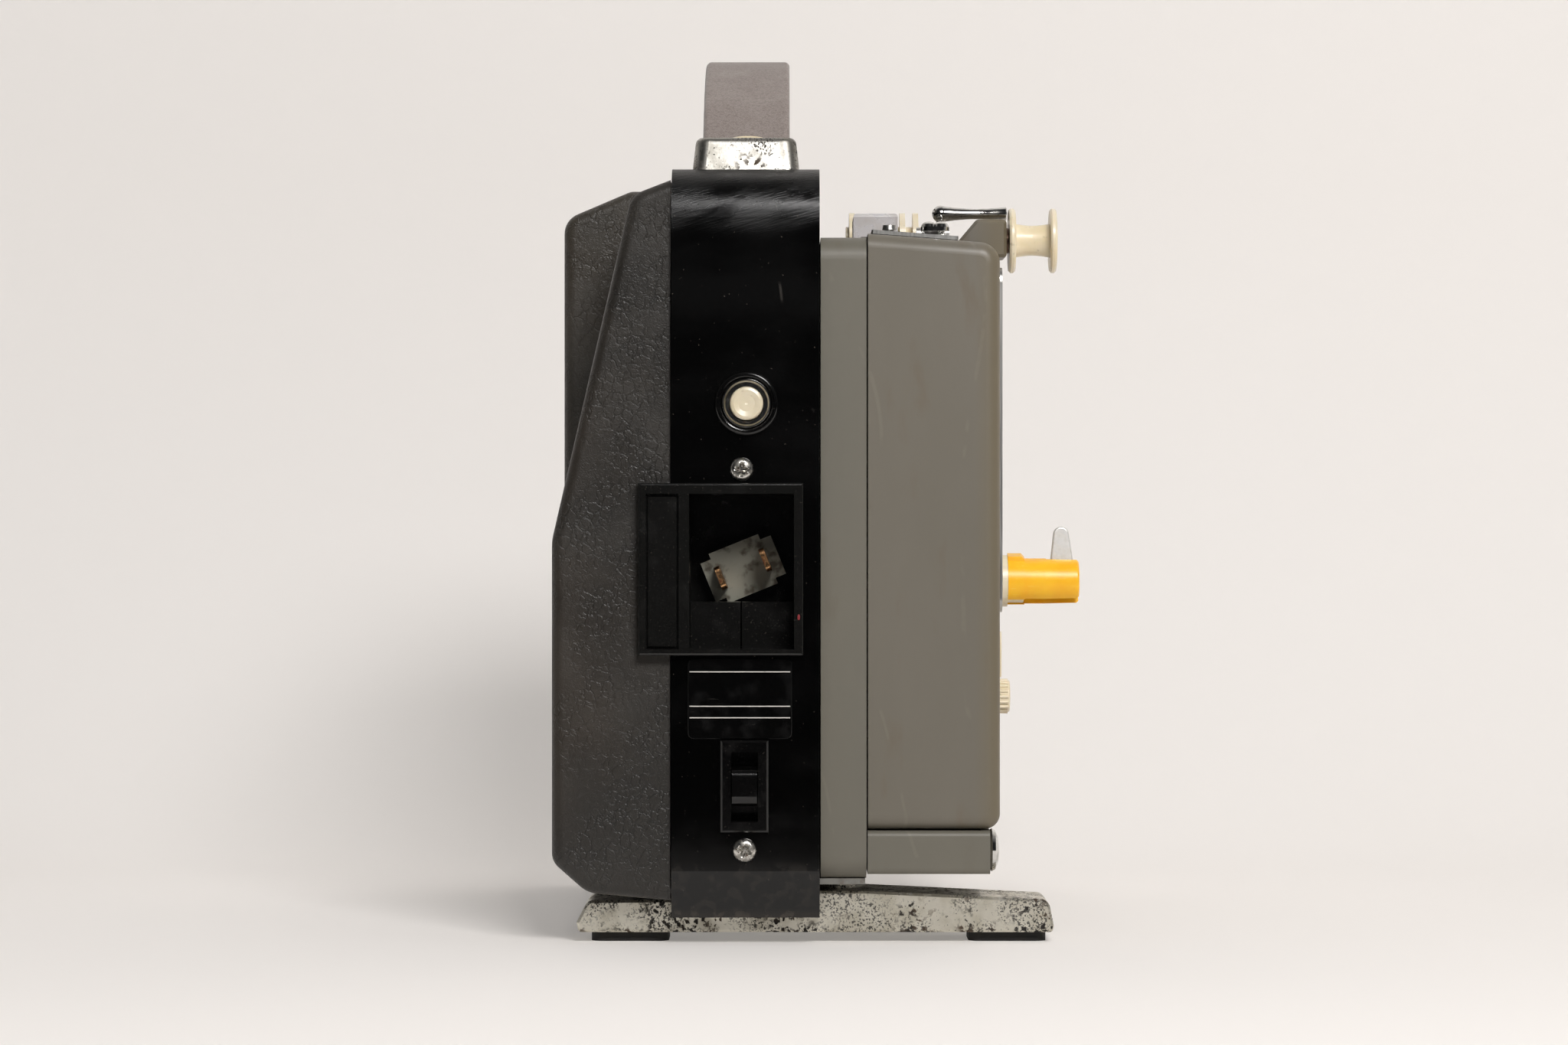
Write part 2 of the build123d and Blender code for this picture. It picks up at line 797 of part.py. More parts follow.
def rear_switch():
    """The small switch behind the button, with the bracket that holds it on the band."""
    front = rear_y + 8 + joint_gap + 1.0 + button_travel + joint_gap
    body = span_box(
        (button_x - 5, button_x + 5), (front, front + 14), (button_z - 9, button_z + 9)
    )
    arm_x = (button_x + 5, button_x + 6.5)
    arm = span_box(arm_x, (rear_y + band_wall, front + 14), (button_z - 9, button_z + 9))
    arm -= rod_x(3.0, (arm_x[0] - 1, arm_x[1] + 1), rear_y + band_wall + 5, button_z)
    arm += span_box(
        (button_x + 5, button_x + 14),
        (rear_y + band_wall, rear_y + band_wall + 1.5),
        (button_z - 18, button_z - 9),
    )
    arm += span_box(
        (button_x + 5, button_x + 6.5),
        (rear_y + band_wall, rear_y + band_wall + 6),
        (button_z - 18, button_z - 8),
    )
    clear = rod_y(bezel_barrel + joint_gap, (rear_y, front - 0.01), button_x, button_z)
    return body + (arm - clear)


def inlet_housing():
    """The moulded inlet housing: a raised frame with a shallow pocket and a deep recess."""
    face = rear_y - inlet_proud
    back = rear_y + recess_depth + inlet_wall
    housing = span_box((-band_half, inlet_right), (face, rear_y), (inlet_foot, inlet_top))
    housing += span_box(
        (inlet_left, -band_half + 0.1), (face, rear_y), (inlet_foot, inlet_top)
    )
    housing = fillet(housing.faces().sort_by(Axis.Y)[0].outer_wire().edges(), 0.6)
    housing += span_box(
        (inlet_left, motor_side_in), (rear_y - 1, cover_rear - 0.1), (inlet_foot, inlet_top)
    )
    housing += span_box(
        (recess_left - inlet_wall, recess_right + inlet_wall),
        (rear_y - 1, back),
        (recess_foot - inlet_wall / 2, recess_top + inlet_wall / 2),
    )
    housing -= span_box(
        (recess_left, recess_right), (face - 1, rear_y + recess_depth), (recess_foot, recess_top)
    )
    housing -= span_box(
        (pocket_left, pocket_right), (face - 1, face + pocket_depth), (recess_foot, recess_top)
    )
    housing += span_box(
        (pocket_left + 0.6, pocket_right - 0.6),
        (face + pocket_depth - 1.0, face + pocket_depth + 0.1),
        (recess_foot + 0.8, recess_top - 0.8),
    )
    return housing


inlet_centre = (-0.8, 98.4)
inlet_turn = 22.0
block_size = (20.2, 14.2)
block_notch = (3.0, 1.6)
block_deep = 6.0
blade_spacing = 12.7
blade_width = 6.35
blade_thick = 1.4
blade_out = 11.0


def turned_in_recess(shape):
    """Places a shape drawn about the inlet's axis at its tilt in the recess."""
    return Pos(inlet_centre[0], 0, inlet_centre[1]) * Rot(0, -inlet_turn, 0) * shape


def inlet_block():
    """The ceramic block with notched corners and a slot for each blade."""
    half_x = block_size[0] / 2
    half_z = block_size[1] / 2
    back = rear_y + recess_depth
    block = span_box((-half_x, half_x), (back - block_deep, back), (-half_z, half_z))
    for side_x in (-1, 1):
        for side_z in (-1, 1):
            corner = (side_x * half_x, side_z * half_z)
            block -= span_box(
                (corner[0] - block_notch[0], corner[0] + block_notch[0]),
                (back - block_deep - 1, back + 1),
                (corner[1] - block_notch[1], corner[1] + block_notch[1]),
            )
    for side in (-1, 1):
        block -= blade(side, running_gap)
    return turned_in_recess(block)


def blade(side, extra):
    """One flat contact blade about the inlet's axis, grown by extra."""
    x = side * blade_spacing / 2
    back = rear_y + recess_depth
    return span_box(
        (x - blade_thick / 2 - extra, x + blade_thick / 2 + extra),
        (back - block_deep - blade_out, back - 0.2 + extra),
        (-blade_width / 2 - extra, blade_width / 2 + extra),
    )


def inlet_blades():
    """Both contact blades, rounded at their free ends."""
    blades = []
    for side in (-1, 1):
        shape = blade(side, 0)
        tip = shape.faces().sort_by(Axis.Y)[0]
        shape = fillet(tip.outer_wire().edges().filter_by(Axis.X), 1.5)
        blades.append(turned_in_recess(shape))
    return Compound(blades)


terminal_height = 12.1
terminal_top = recess_foot + terminal_height
terminal_face = 10.0
seam_x = -1.2
seam_width = 0.4


def terminal_cover():
    """The two half covers over the wiring at the foot of the recess."""
    halves = []
    back = rear_y + recess_depth - block_deep - 0.2
    left = (recess_left + fit_gap, seam_x - seam_width / 2)
    right = (seam_x + seam_width / 2, recess_right - fit_gap)
    for x in (left, right):
        halves.append(span_box(x, (rear_y + terminal_face, back), (recess_foot, terminal_top)))
    return Compound(halves)


slot_x = (switch_left + switch_right) / 2
slot_z = (switch_foot + switch_top) / 2 - 0.1
switch_deep = 10.0


def switch_bezel():
    """The frame of the slide switch with its slot and its body through the wall."""
    frame = span_box(
        (switch_left, switch_right), (rear_y - switch_proud, rear_y), (switch_foot, switch_top)
    )
    frame = chamfer(frame.faces().sort_by(Axis.Y)[0].outer_wire().edges(), 0.5)
    frame += span_box(
        (switch_left + 1.2, switch_right - 1.2),
        (rear_y - 0.5, rear_y + switch_deep),
        (switch_foot + 1.2, switch_top - 1.2),
    )
    frame -= span_box(
        (slot_x - switch_slot / 2, slot_x + switch_slot / 2),
        (rear_y - 5, rear_y + switch_deep + 1),
        (slot_z - switch_slot_length / 2, slot_z + switch_slot_length / 2),
    )
    return frame


def light_switch():
    """The sliding grip of the switch, a rounded barrel across the slot."""
    front = rear_y - slider_proud
    back = rear_y + switch_deep - 0.4
    half = slider_length / 2
    points = [
        (back, slot_z - half),
        (front, slot_z - half),
        (front, slot_z + half),
        (back, slot_z + half),
    ]
    grip = prism_x(points, [0, 2.6, 2.6, 0], (slot_x - slider_width / 2, slot_x + slider_width / 2))
    return grip


def light_switch_body():
    """The closed box of contacts behind the slide switch."""
    return span_box(
        (switch_left + 1.2, switch_right - 1.2),
        (rear_y + switch_deep, rear_y + switch_deep + 6),
        (switch_foot + 1.2, switch_top - 1.2),
    )


def rear_screws():
    """The two pan-head screws of the band."""
    screws = []
    for x, z in (upper_screw, lower_screw):
        face = rear_y - screw_head_high
        screws.append(
            turned_y(
                [
                    (face, 0),
                    (face + 0.1, screw_head * 0.5),
                    (face + 0.6, screw_head * 0.9),
                    (rear_y - 0.3, screw_head),
                    (rear_y, screw_head),
                    (rear_y, screw_shank),
                    (rear_y + screw_length, screw_shank),
                    (rear_y + screw_length, 0),
                ],
                x,
                z,
            )
        )
    return screws


keep("button_bezel", button_bezel())
keep("button_ring", button_ring())
keep("rear_button", rear_button())
keep("inlet_housing", inlet_housing())
keep("inlet_block", inlet_block())
keep("inlet_blades", inlet_blades())
keep("terminal_cover", terminal_cover())
keep("switch_bezel", switch_bezel())
keep("light_switch", light_switch())
keep("switch_bodies", Compound([rear_switch(), light_switch_body()]))
keep("fasteners", Compound(leg_screws() + handle_pins() + rear_screws()))


# Guide roller and its bracket, at the top rear corner of the film side
roller_y = -75.0
roller_z = 185.9
roller_in = 70.0
roller_length = 12.6
roller_flange = 8.6
roller_rim = 1.7
roller_core = 4.5
roller_waist = 0.5
axle_radius = 1.9
bracket_half = 7.0
bracket_low_x = 55.6
bracket_high_x = 61.2
bracket_top = 191.2
bracket_foot = 181.1
bracket_ear = 2.4

# Lever, trimmer and guides on top of the film side
lever_z = 194.1
lever_length = 17.6
lever_ball = 2.3
lever_root_radius = 2.25
lever_waist = 1.4
lever_waist_at = 0.55
lever_tip_radius = 1.9
trimmer_x = (33.2, 56.0)
trimmer_y = (-91.0, -64.0)
trimmer_gap = 0.3
trimmer_thick = 1.0
pad_x = 50.0
pad_y = -85.0
trimmer_pin_y = -68.0
trimmer_pin_z = 188.3
trimmer_pin = 0.8
trimmer_slot = 1.2
dome_radius = 2.2
dome_high = 1.7
dome_apart = 1.6
knob_x = 38.0
knob_y = -83.0
guide_y = front_y - 66.0
guide_z = 193.5
tray_x = (22.4, 46.5)
tray_depth = 18.0
tray_thick = 3.0
guide_bar_radius = 3.2
guide_flange_radius = 7.2
guide_flanges = (29.0, 43.6, 47.4)
guide_posts = (32.6, 40.6)
block_x = (29.0, 41.1)
block_y = (-50.0, -30.0)
block_top = 195.0


def roller_bracket():
    """The cast bracket that rises from the cover and carries the roller's axle."""
    points = [
        (bracket_low_x, mechanism_top - 2 * mechanism_fall),
        (bracket_low_x, mechanism_top - mechanism_fall + 0.6),
        (bracket_high_x, bracket_top),
        (mechanism_out + bracket_ear, bracket_top),
        (mechanism_out + bracket_ear, bracket_foot),
        (mechanism_out + 0.1, bracket_foot),
        (mechanism_out + 0.1, mechanism_top - 2 * mechanism_fall),
    ]
    bracket = prism_y(points, [0, 0, 1.5, 1.2, 0.8, 0, 0], (roller_y - bracket_half, roller_y + bracket_half))
    ends = end_edges(bracket, Axis.Y, 0, mechanism_out + 0.1, 0.05)
    upper = [e for e in ends if e.center().Z > mechanism_top - mechanism_fall + 1]
    bracket = chamfer(upper, 0.8)
    bracket -= mechanism_block()
    hole = (mechanism_out, mechanism_out + bracket_ear + 1)
    return bracket - rod_x(axle_radius + running_gap, hole, roller_y, roller_z)


def roller_axle():
    """The steel axle with a washer at the bracket and a head in the roller's end."""
    start = mechanism_out + 0.2
    ear = mechanism_out + bracket_ear
    end = roller_in + roller_length - 0.4
    axle = rod_x(axle_radius, (start, end), roller_y, roller_z)
    axle += rod_x(3.4, (ear, roller_in - 0.1), roller_y, roller_z)
    axle += rod_x(3.0, (end - 1.0, end), roller_y, roller_z)
    return axle


def guide_roller():
    """The ivory roller: two thin flanges and a core that is waisted in the middle."""
    bore = axle_radius + running_gap
    inner = roller_in + roller_rim
    outer = roller_in + roller_length - roller_rim
    profile = [(roller_in, bore), (roller_in, roller_flange - 0.4), (roller_in + 0.5, roller_flange)]
    profile += [(inner - 0.5, roller_flange), (inner, roller_flange - 0.5)]
    steps = 8
    for index in range(steps + 1):
        share = index / steps
        x = inner + (outer - inner) * share
        profile.append((x, roller_core - roller_waist * math.sin(math.pi * share)))
    profile += [(outer, roller_flange - 0.5), (outer + 0.5, roller_flange)]
    end = roller_in + roller_length
    profile += [(end - 0.5, roller_flange), (end, roller_flange - 0.4)]
    profile += [(end, 3.4), (end - 1.8, 3.4), (end - 1.8, bore)]
    return turned_x(profile, roller_y, roller_z)


def film_lever():
    """The chrome lever: a waisted grip on a ball with a stem down through the cover."""
    steps = 10
    profile = [(0, 0)]
    for index in range(steps + 1):
        share = index / steps
        if share < lever_waist_at:
            swell = lever_root_radius - lever_waist
            away = 1 - share / lever_waist_at
        else:
            swell = lever_tip_radius - lever_waist
            away = (share - lever_waist_at) / (1 - lever_waist_at)
        profile.append((lever_length * share, lever_waist + swell * away ** 2))
    profile.append((lever_length + 0.3, lever_tip_radius - 0.3))
    profile.append((lever_length + 0.3, 0))
    grip = Pos(lever_x, 0, 0) * turned_x(profile, lever_y, lever_z)
    ball = Pos(lever_x, lever_y, lever_z) * Sphere(lever_ball)
    stem_foot = mechanism_top - mechanism_fall - cover_wall - 3
    stem = rod_z(lever_stem, (stem_foot, lever_z), lever_x, lever_y)
    collar_foot = mechanism_top + 0.2
    collar = rod_z(2.4, (collar_foot, collar_foot + 1.4), lever_x, lever_y)
    return grip + ball + stem + collar


def cover_top(x):
    """The height of the mechanism cover's sloping top at x."""
    return mechanism_top - mechanism_fall * (x - mechanism_in) / mechanism_width


def trimmer_base():
    """The film trimmer's plate, parallel to the cover's top, with its feet, stop knob and ears."""
    low = [cover_top(x) + trimmer_gap for x in trimmer_x]
    points = [
        (trimmer_x[0], low[0]),
        (trimmer_x[1], low[1]),
        (trimmer_x[1], low[1] + trimmer_thick),
        (trimmer_x[0], low[0] + trimmer_thick),
    ]
    plate = prism_y(points, 0, trimmer_y)
    plate = fillet(plate.edges().filter_by(lambda edge: edge.length < 2 * trimmer_thick), 0.4)
    for x in ((trimmer_x[0] + 0.5, trimmer_x[0] + 3), (trimmer_x[1] - 3.5, trimmer_x[1] - 0.5)):
        foot_z = (cover_top(x[1]) - 1, cover_top(x[1]) + trimmer_gap + 0.4)
        plate += span_box(x, (trimmer_y[0] + 3, trimmer_y[1] - 3), foot_z)
    plate -= mechanism_block()
    knob_foot = cover_top(knob_x) + trimmer_gap + trimmer_thick - 0.2
    plate += turned_z(
        [
            (knob_foot, 0),
            (knob_foot, 1.1),
            (knob_foot + 0.7, 1.1),
            (knob_foot + 1.0, 1.9),
            (knob_foot + 2.2, 1.7),
            (knob_foot + 2.4, 0),
        ],
        knob_x,
        knob_y,
    )
    for x in (pad_x - 4.4, pad_x + 3.2):
        ear_z = (cover_top(x) + trimmer_gap + 0.2, trimmer_pin_z)
        plate += span_box((x, x + 1.2), (trimmer_pin_y - 1.6, trimmer_pin_y + 1.6), ear_z)
        plate += rod_x(1.6, (x, x + 1.2), trimmer_pin_y, trimmer_pin_z)
    plate += rod_x(trimmer_pin, (pad_x - 4.0, pad_x + 4.0), trimmer_pin_y, trimmer_pin_z)
    slot_y = (pad_y - trimmer_slot, pad_y + trimmer_slot)
    slot = span_box((pad_x - 3, pad_x + 3), slot_y, (mechanism_top - 6, trimmer_pin_z))
    return plate - slot


def trimmer_lever():
    """The press-down lever of the trimmer, with two chrome domes at its free end."""
    half = 0.5
    level = (trimmer_pin_z - half, trimmer_pin_z + half)
    arm = span_box((pad_x - 2.6, pad_x + 2.6), (pad_y, trimmer_pin_y), level)
    arm += rod_z(3.8, level, pad_x, pad_y)
    arm += rod_x(trimmer_pin + 0.7, (pad_x - 2.8, pad_x + 2.8), trimmer_pin_y, trimmer_pin_z)
    for x in (pad_x - dome_apart, pad_x + dome_apart):
        profile = []
        for share in (1.0, 0.8, 0.6, 0.4, 0.2, 0.0):
            profile.append((level[1] - 0.1 + dome_high * math.sqrt(1 - share ** 2), dome_radius * share))
        arm += turned_z([(level[1] - 0.1, 0)] + profile, x, pad_y)
    return arm - rod_x(trimmer_pin + running_gap, (pad_x - 5, pad_x + 5), trimmer_pin_y, trimmer_pin_z)


def film_guides():
    """The ivory film guide on top: a tray with a flanged bar on two posts."""
    foot = chassis_top - 0.5
    tray_y = (guide_y - tray_depth / 2, guide_y + tray_depth / 2)
    guide = span_box(tray_x, tray_y, (foot, chassis_top + tray_thick))
    guide -= mechanism_block()
    guide -= span_box((0, chassis_out + 0.1), (tray_y[0] - 1, tray_y[1] + 1), (foot - 1, chassis_top))
    guide += rod_x(guide_bar_radius, (guide_flanges[0] - 1, guide_flanges[-1] + 3), guide_y, guide_z)
    for x in guide_flanges:
        guide += rod_x(guide_flange_radius, (x, x + 1.6), guide_y, guide_z)
    for x in guide_posts:
        post_y = (guide_y - guide_bar_radius + 0.2, guide_y + guide_bar_radius - 0.2)
        guide += span_box((x, x + 2), post_y, (chassis_top + 1, guide_z))
    return guide


def film_inlet_block():
    """The pale block over the film's way in, with a slot along its foot."""
    block = span_box(block_x, block_y, (mechanism_top - 2, block_top))
    block = fillet(block.faces().sort_by(Axis.Z)[-1].outer_wire().edges(), 1.0)
    block -= span_box(
        (block_x[0] + 2, block_x[1] + 1),
        (block_y[0] - 1, block_y[1] + 1),
        (mechanism_top - 3, mechanism_top + 2),
    )
    rim = (chassis_out - 5, chassis_out + split_gap / 2)
    block -= span_box(rim, (block_y[0] - 1, block_y[1] + 1), (chassis_top - 5, chassis_top))
    return block - mechanism_block()


keep("roller_bracket", roller_bracket())
keep("roller_axle", roller_axle())
keep("guide_roller", guide_roller())
keep("film_lever", film_lever())
keep("trimmer_base", trimmer_base())
keep("trimmer_lever", trimmer_lever())
keep("film_guides", film_guides())
keep("film_inlet_block", film_inlet_block())

# Spindles
reel_in = 69.6
spindle_flange = 7.05
spindle_rim = 1.5
core_radius = 3.9
core_slot = 2.8
adapter_radius = 6.2
adapter_bore = 4.0
adapter_length = 19.4
adapter_edge = 0.5
latch_back = 4.3
latch_reach = 12.7
latch_width = 7.6
latch_tip = 2.15
collar_length = 4.6
collar_extra = 0.3
take_up_lead = 9.4
supply_lead = 2.0
lead_drop = 0.2
key_turn = 25.0
lug_turn = 12.0
latch_thick = 2.4
latch_pin = 0.8
shaft_radius = 2.0
supply_short = 2.2
arm_thick = 2.2
arm_gap = 0.3
arm_end = 8.0
arm_boss = 9.0
pivot_radius = 4.0


def spindle_core(y, z, length, shaft_from):
    """The ivory core with its flange, shaft, key and the slot and pin of the latch."""
    start = reel_in + spindle_rim
    end = start + length
    pivot = end - latch_back
    core = rod_x(spindle_flange, (reel_in, start), y, z)
    core += rod_x(core_radius, (start - 0.1, end - 0.6), y, z)
    core += rod_x(shaft_radius, (shaft_from, start), y, z)
    key = span_box((start - 0.1, start + collar_length - 0.2), (-1.1, 1.1), (-adapter_radius + 0.2, 0))
    core += Pos(0, y, z) * Rot(-key_turn, 0, 0) * key
    slot_y = (y - core_slot / 2, y + core_slot / 2)
    core -= span_box((pivot - latch_width / 2 - 0.6, end), slot_y, (z - 9, z + 9))
    core += rod_y(latch_pin, (y - core_radius + 0.9, y + core_radius - 0.9), pivot, z)
    return core


def reel_adapter(y, z, length, lead):
    """The sleeve that fills the larger reel bore: a collar with a lug, slots for key and latch.

    Its free end tapers a little over the length lead, so that a reel goes on easily.
    """
    start = reel_in + spindle_rim + 0.1
    end = start + length
    profile = [
        (start, 0),
        (start, adapter_radius),
        (end - lead, adapter_radius),
        (end - adapter_edge, adapter_radius - lead_drop),
        (end, adapter_radius - lead_drop - adapter_edge),
        (end, 0),
    ]
    sleeve = turned_x(profile, 0, 0)
    sleeve += rod_x(adapter_radius + collar_extra, (start, start + collar_length), 0, 0)
    lug = span_box((start, start + collar_length), (-2.2, 2.2), (3, adapter_radius + 1.1))
    outer_edge = lug.faces().sort_by(Axis.Z)[-1].outer_wire().edges().sort_by(Axis.X)[-1]
    sleeve += Rot(lug_turn, 0, 0) * chamfer(outer_edge, 0.9)
    sleeve -= rod_x(adapter_bore, (start - 1, end + 1), 0, 0)
    key_slot = span_box((start - 1, end + 1), (-1.5, 1.5), (-adapter_radius - 3, 0))
    sleeve -= Rot(-key_turn, 0, 0) * key_slot
    slot_from = end - latch_back - latch_width / 2 - 0.8
    sleeve -= span_box((slot_from, end + 1), (-1.6, 1.6), (0, adapter_radius + 3))
    return Pos(0, y, z) * sleeve


def spindle_latch(y, z, length, fold):
    """The finger that holds the reel, turned by fold degrees from upright towards the free end."""
    pivot = reel_in + spindle_rim + length - latch_back
    half = latch_width / 2
    root = Pos(pivot, z) * Circle(half)
    tip = Pos(pivot - 0.3, z + latch_reach) * Circle(latch_tip)
    outline = make_hull((root + tip).edges())
    plane = Plane(origin=(0, y + latch_thick / 2, 0), x_dir=(1, 0, 0), z_dir=(0, -1, 0))
    shape = extrude(plane * outline, latch_thick)
    long_edges = shape.edges().filter_by(GeomType.CIRCLE, reverse=True).filter_by(Axis.Y, reverse=True)
    shape = fillet(long_edges, 0.5)
    shape -= rod_y(latch_pin + running_gap, (y - 9, y + 9), pivot, z)
    return Pos(pivot, y, z) * Rot(0, fold, 0) * Pos(-pivot, -y, -z) * shape


supply_y = arm_pivot_y
supply_z = arm_pivot_z - arm_reach
take_up_length = adapter_length
supply_length = adapter_length - supply_short


def take_up_core():
    """The take-up spindle's core with its belt pulley inside the body."""
    left = pulley_right - belt_groove
    core = spindle_core(take_up_y, take_up_z, take_up_length, left)
    return core + grooved_pulley(take_up_pulley_radius, (left, pulley_right), take_up_y, take_up_z)


def supply_arm():
    """The folding arm of the supply reel, with its pivot through the cover."""
    inner = mechanism_out + arm_gap
    top = Pos(arm_pivot_y, arm_pivot_z) * Circle(arm_boss)
    foot = Pos(supply_y, supply_z) * Circle(arm_end)
    outline = make_hull((top + foot).edges())
    plane = Plane(origin=(inner, 0, 0), x_dir=(0, 1, 0), z_dir=(1, 0, 0))
    arm = extrude(plane * outline, arm_thick)
    arm = chamfer(arm.faces().sort_by(Axis.X)[-1].outer_wire().edges(), 0.8)
    arm += rod_x(pivot_radius, (mechanism_out - cover_wall - 2.2, inner + 0.1), arm_pivot_y, arm_pivot_z)
    arm += rod_x(
        pivot_radius + 2.5,
        (mechanism_out - cover_wall - 2.2, mechanism_out - cover_wall - arm_gap),
        arm_pivot_y,
        arm_pivot_z,
    )
    arm += rod_x(5.0, (inner + arm_thick - 0.1, inner + arm_thick + 1.6), arm_pivot_y, arm_pivot_z)
    arm -= rod_x(shaft_radius + running_gap, (inner - 1, inner + arm_thick + 1), supply_y, supply_z)
    arm -= rod_x(3.6, (inner - 1, inner + 1.4), supply_y, supply_z)
    return arm


def supply_core():
    """The supply spindle's core with the head that holds it in the arm."""
    inner = mechanism_out + arm_gap
    core = spindle_core(supply_y, supply_z, supply_length, inner + 0.1)
    return core + rod_x(3.2, (inner + 0.1, inner + 1.3), supply_y, supply_z)


# Belt drive, in the space between the motor and the chassis
pulley_right = 17.4
belt_groove = 3.6
belt_thick = 1.4
belt_gap = 0.3
drive_pulley_radius = 18.0
motor_pulley_radius = 7.5
clutch_pulley_radius = 9.0
take_up_pulley_radius = 14.0


def grooved_pulley(radius, x, y, z):
    """A pulley with a rim on each side of its belt."""
    rim = 0.7
    return turned_x(
        [
            (x[0], 0),
            (x[0], radius + belt_gap + belt_thick / 2),
            (x[0] + rim, radius),
            (x[1] - rim, radius),
            (x[1], radius + belt_gap + belt_thick / 2),
            (x[1], 0),
        ],
        y,
        z,
    )


keep("take_up_core", take_up_core())
keep("take_up_adapter", reel_adapter(take_up_y, take_up_z, take_up_length, take_up_lead))
keep("take_up_latch", spindle_latch(take_up_y, take_up_z, take_up_length, 0))
keep("supply_arm", supply_arm())
keep("supply_core", supply_core())
keep("supply_adapter", reel_adapter(supply_y, supply_z, supply_length, supply_lead))
keep("supply_latch", spindle_latch(supply_y, supply_z, supply_length, 90))


def fascia_plate():
    """The thin plate on the film side, with rounded corners and a hole for the spindle."""
    rear = film_rear + mechanism_edge + 2
    front = door_rear - 6
    top = mechanism_top - 8.6
    foot = take_up_z - 7.7
    points = [(rear, foot), (front, foot), (front, top), (rear, top)]
    plate = prism_x(points, 4.0, (mechanism_out, mechanism_out + fascia_thick))
    return plate - rod_x(4.5, (mechanism_out - 1, mechanism_out + 2), take_up_y, take_up_z)


def ribbed_knob(radius, ribs, x, y, z):
    """A knob along X with rounded ribs round its rim and a shallow dish in its end."""
    knob = rod_x(radius - 0.5, x, y, z)
    knob = fillet(knob.faces().sort_by(Axis.X)[-1].outer_wire().edges(), 0.5)
    rib_x = (x[0], x[1] - 0.6)
    for index in range(ribs):
        turn = 2 * math.pi * index / ribs
        reach = radius - 0.55
        knob += rod_x(0.5, rib_x, y + reach * math.cos(turn), z + reach * math.sin(turn))
    return knob - rod_x(radius * 0.5, (x[1] - 0.5, x[1] + 1), y, z)


def function_knob():
    """The low chrome knob on the control box, with its spindle through the wall."""
    face = chassis_out + control_box_width
    inside = face - 2.2 - joint_gap
    return turned_x(
        [
            (inside - 1.2, 0),
            (inside - 1.2, 3.5),
            (inside, 3.5),
            (inside, shaft_bore - running_gap),
            (face + 0.3, shaft_bore - running_gap),
            (face + 0.3, 5.3),
            (face + 0.9, 5.7),
            (face + 1.8, 5.2),
            (face + 2.5, 3.6),
            (face + 2.8, 1.4),
            (face + 2.8, 0),
        ],
        function_y,
        function_z,
    )


inching_x = (68.0, 72.6)
inching_radius = 4.9


def inching_knob():
    """The ivory knob on the end of the main shaft."""
    knob = ribbed_knob(inching_radius, 18, inching_x, main_y, main_z)
    return knob - rod_x(main_radius, (inching_x[0] - 1, inching_x[1] - 1.2), main_y, main_z)


def spur_gear(teeth, x, y, z, phase):
    """A toothed wheel along X with one tooth at the angle phase, in degrees from +Y to +Z."""
    pitch_radius = gear_module * teeth / 2
    root = pitch_radius - 1.2 * gear_module
    tip = pitch_radius + 0.75 * gear_module
    pitch = 360 / teeth
    points = []
    for index in range(teeth):
        middle = phase + index * pitch
        for share, radius in ((-0.28, root), (-0.12, tip), (0.12, tip), (0.28, root)):
            angle = math.radians(middle + share * pitch)
            points.append((y + radius * math.cos(angle), z + radius * math.sin(angle)))
    return prism_x(points, 0, x)


gear_x = (24.8, 28.8)
skew_x = (40.0, 48.0)
skew_radius = 8.1
pinion_radius = 7.9
cam_x = (51.0, 54.0)
belt_x = [(9.4, 13.0), (pulley_right - belt_groove, pulley_right)]


def main_shaft():
    """The main shaft with both belt pulleys, its gear, the shutter drive and the claw cam."""
    shaft = rod_x(main_radius, (belt_x[0][0] - 0.6, inching_x[1] - 1.2), main_y, main_z)
    shaft += grooved_pulley(drive_pulley_radius, belt_x[0], main_y, main_z)
    shaft += grooved_pulley(clutch_pulley_radius, belt_x[1], main_y, main_z)
    shaft += rod_x(5.0, (belt_x[0][1] - 0.1, belt_x[1][0] + 0.1), main_y, main_z)
    shaft += spur_gear(main_teeth, gear_x, main_y, main_z, sprocket_angle)
    shaft += rod_x(skew_radius, skew_x, main_y, main_z)
    shaft += rod_x(5.0, cam_x, main_y + 1.6, main_z)
    return shaft


rim_radius = 9.0
drum_radius = 7.2
sprocket_x = [(40.0, 41.2), (46.8, 48.0)]
film_teeth = 12
gear_holes = 5
gear_hole_reach = 14.0
gear_hole_radius = 5.0


def film_sprocket():
    """The film sprocket with two toothed rims, driven by the large gear."""
    phase = sprocket_angle + 180 + 180 / sprocket_teeth
    wheel = spur_gear(sprocket_teeth, gear_x, sprocket_y, sprocket_z, phase)
    for index in range(gear_holes):
        turn = math.radians(sprocket_angle + 360 / gear_holes * index)
        y = sprocket_y + gear_hole_reach * math.cos(turn)
        z = sprocket_z + gear_hole_reach * math.sin(turn)
        wheel -= rod_x(gear_hole_radius, (gear_x[0] - 1, gear_x[1] + 1), y, z)
    wheel += rod_x(main_radius, (chassis_in + 0.2, sprocket_x[1][1] + 2), sprocket_y, sprocket_z)
    wheel += rod_x(drum_radius, (sprocket_x[0][0] - 2, sprocket_x[1][1] + 1), sprocket_y, sprocket_z)
    for x in sprocket_x:
        wheel += rod_x(rim_radius, x, sprocket_y, sprocket_z)
        for index in range(film_teeth):
            turn = 2 * math.pi * index / film_teeth
            middle = (x[0] + x[1]) / 2
            tooth = Pos(middle, 0, rim_radius + 0.3) * Box(0.8, 0.9, 1.4)
            tooth = chamfer(tooth.faces().sort_by(Axis.Z)[-1].outer_wire().edges(), 0.25)
            wheel += Pos(0, sprocket_y, sprocket_z) * Rot(math.degrees(turn), 0, 0) * tooth
    return wheel


shutter_y = (front_y - 52.0, front_y - 51.0)
shutter_radius = 19.0
shutter_hub = 8.0


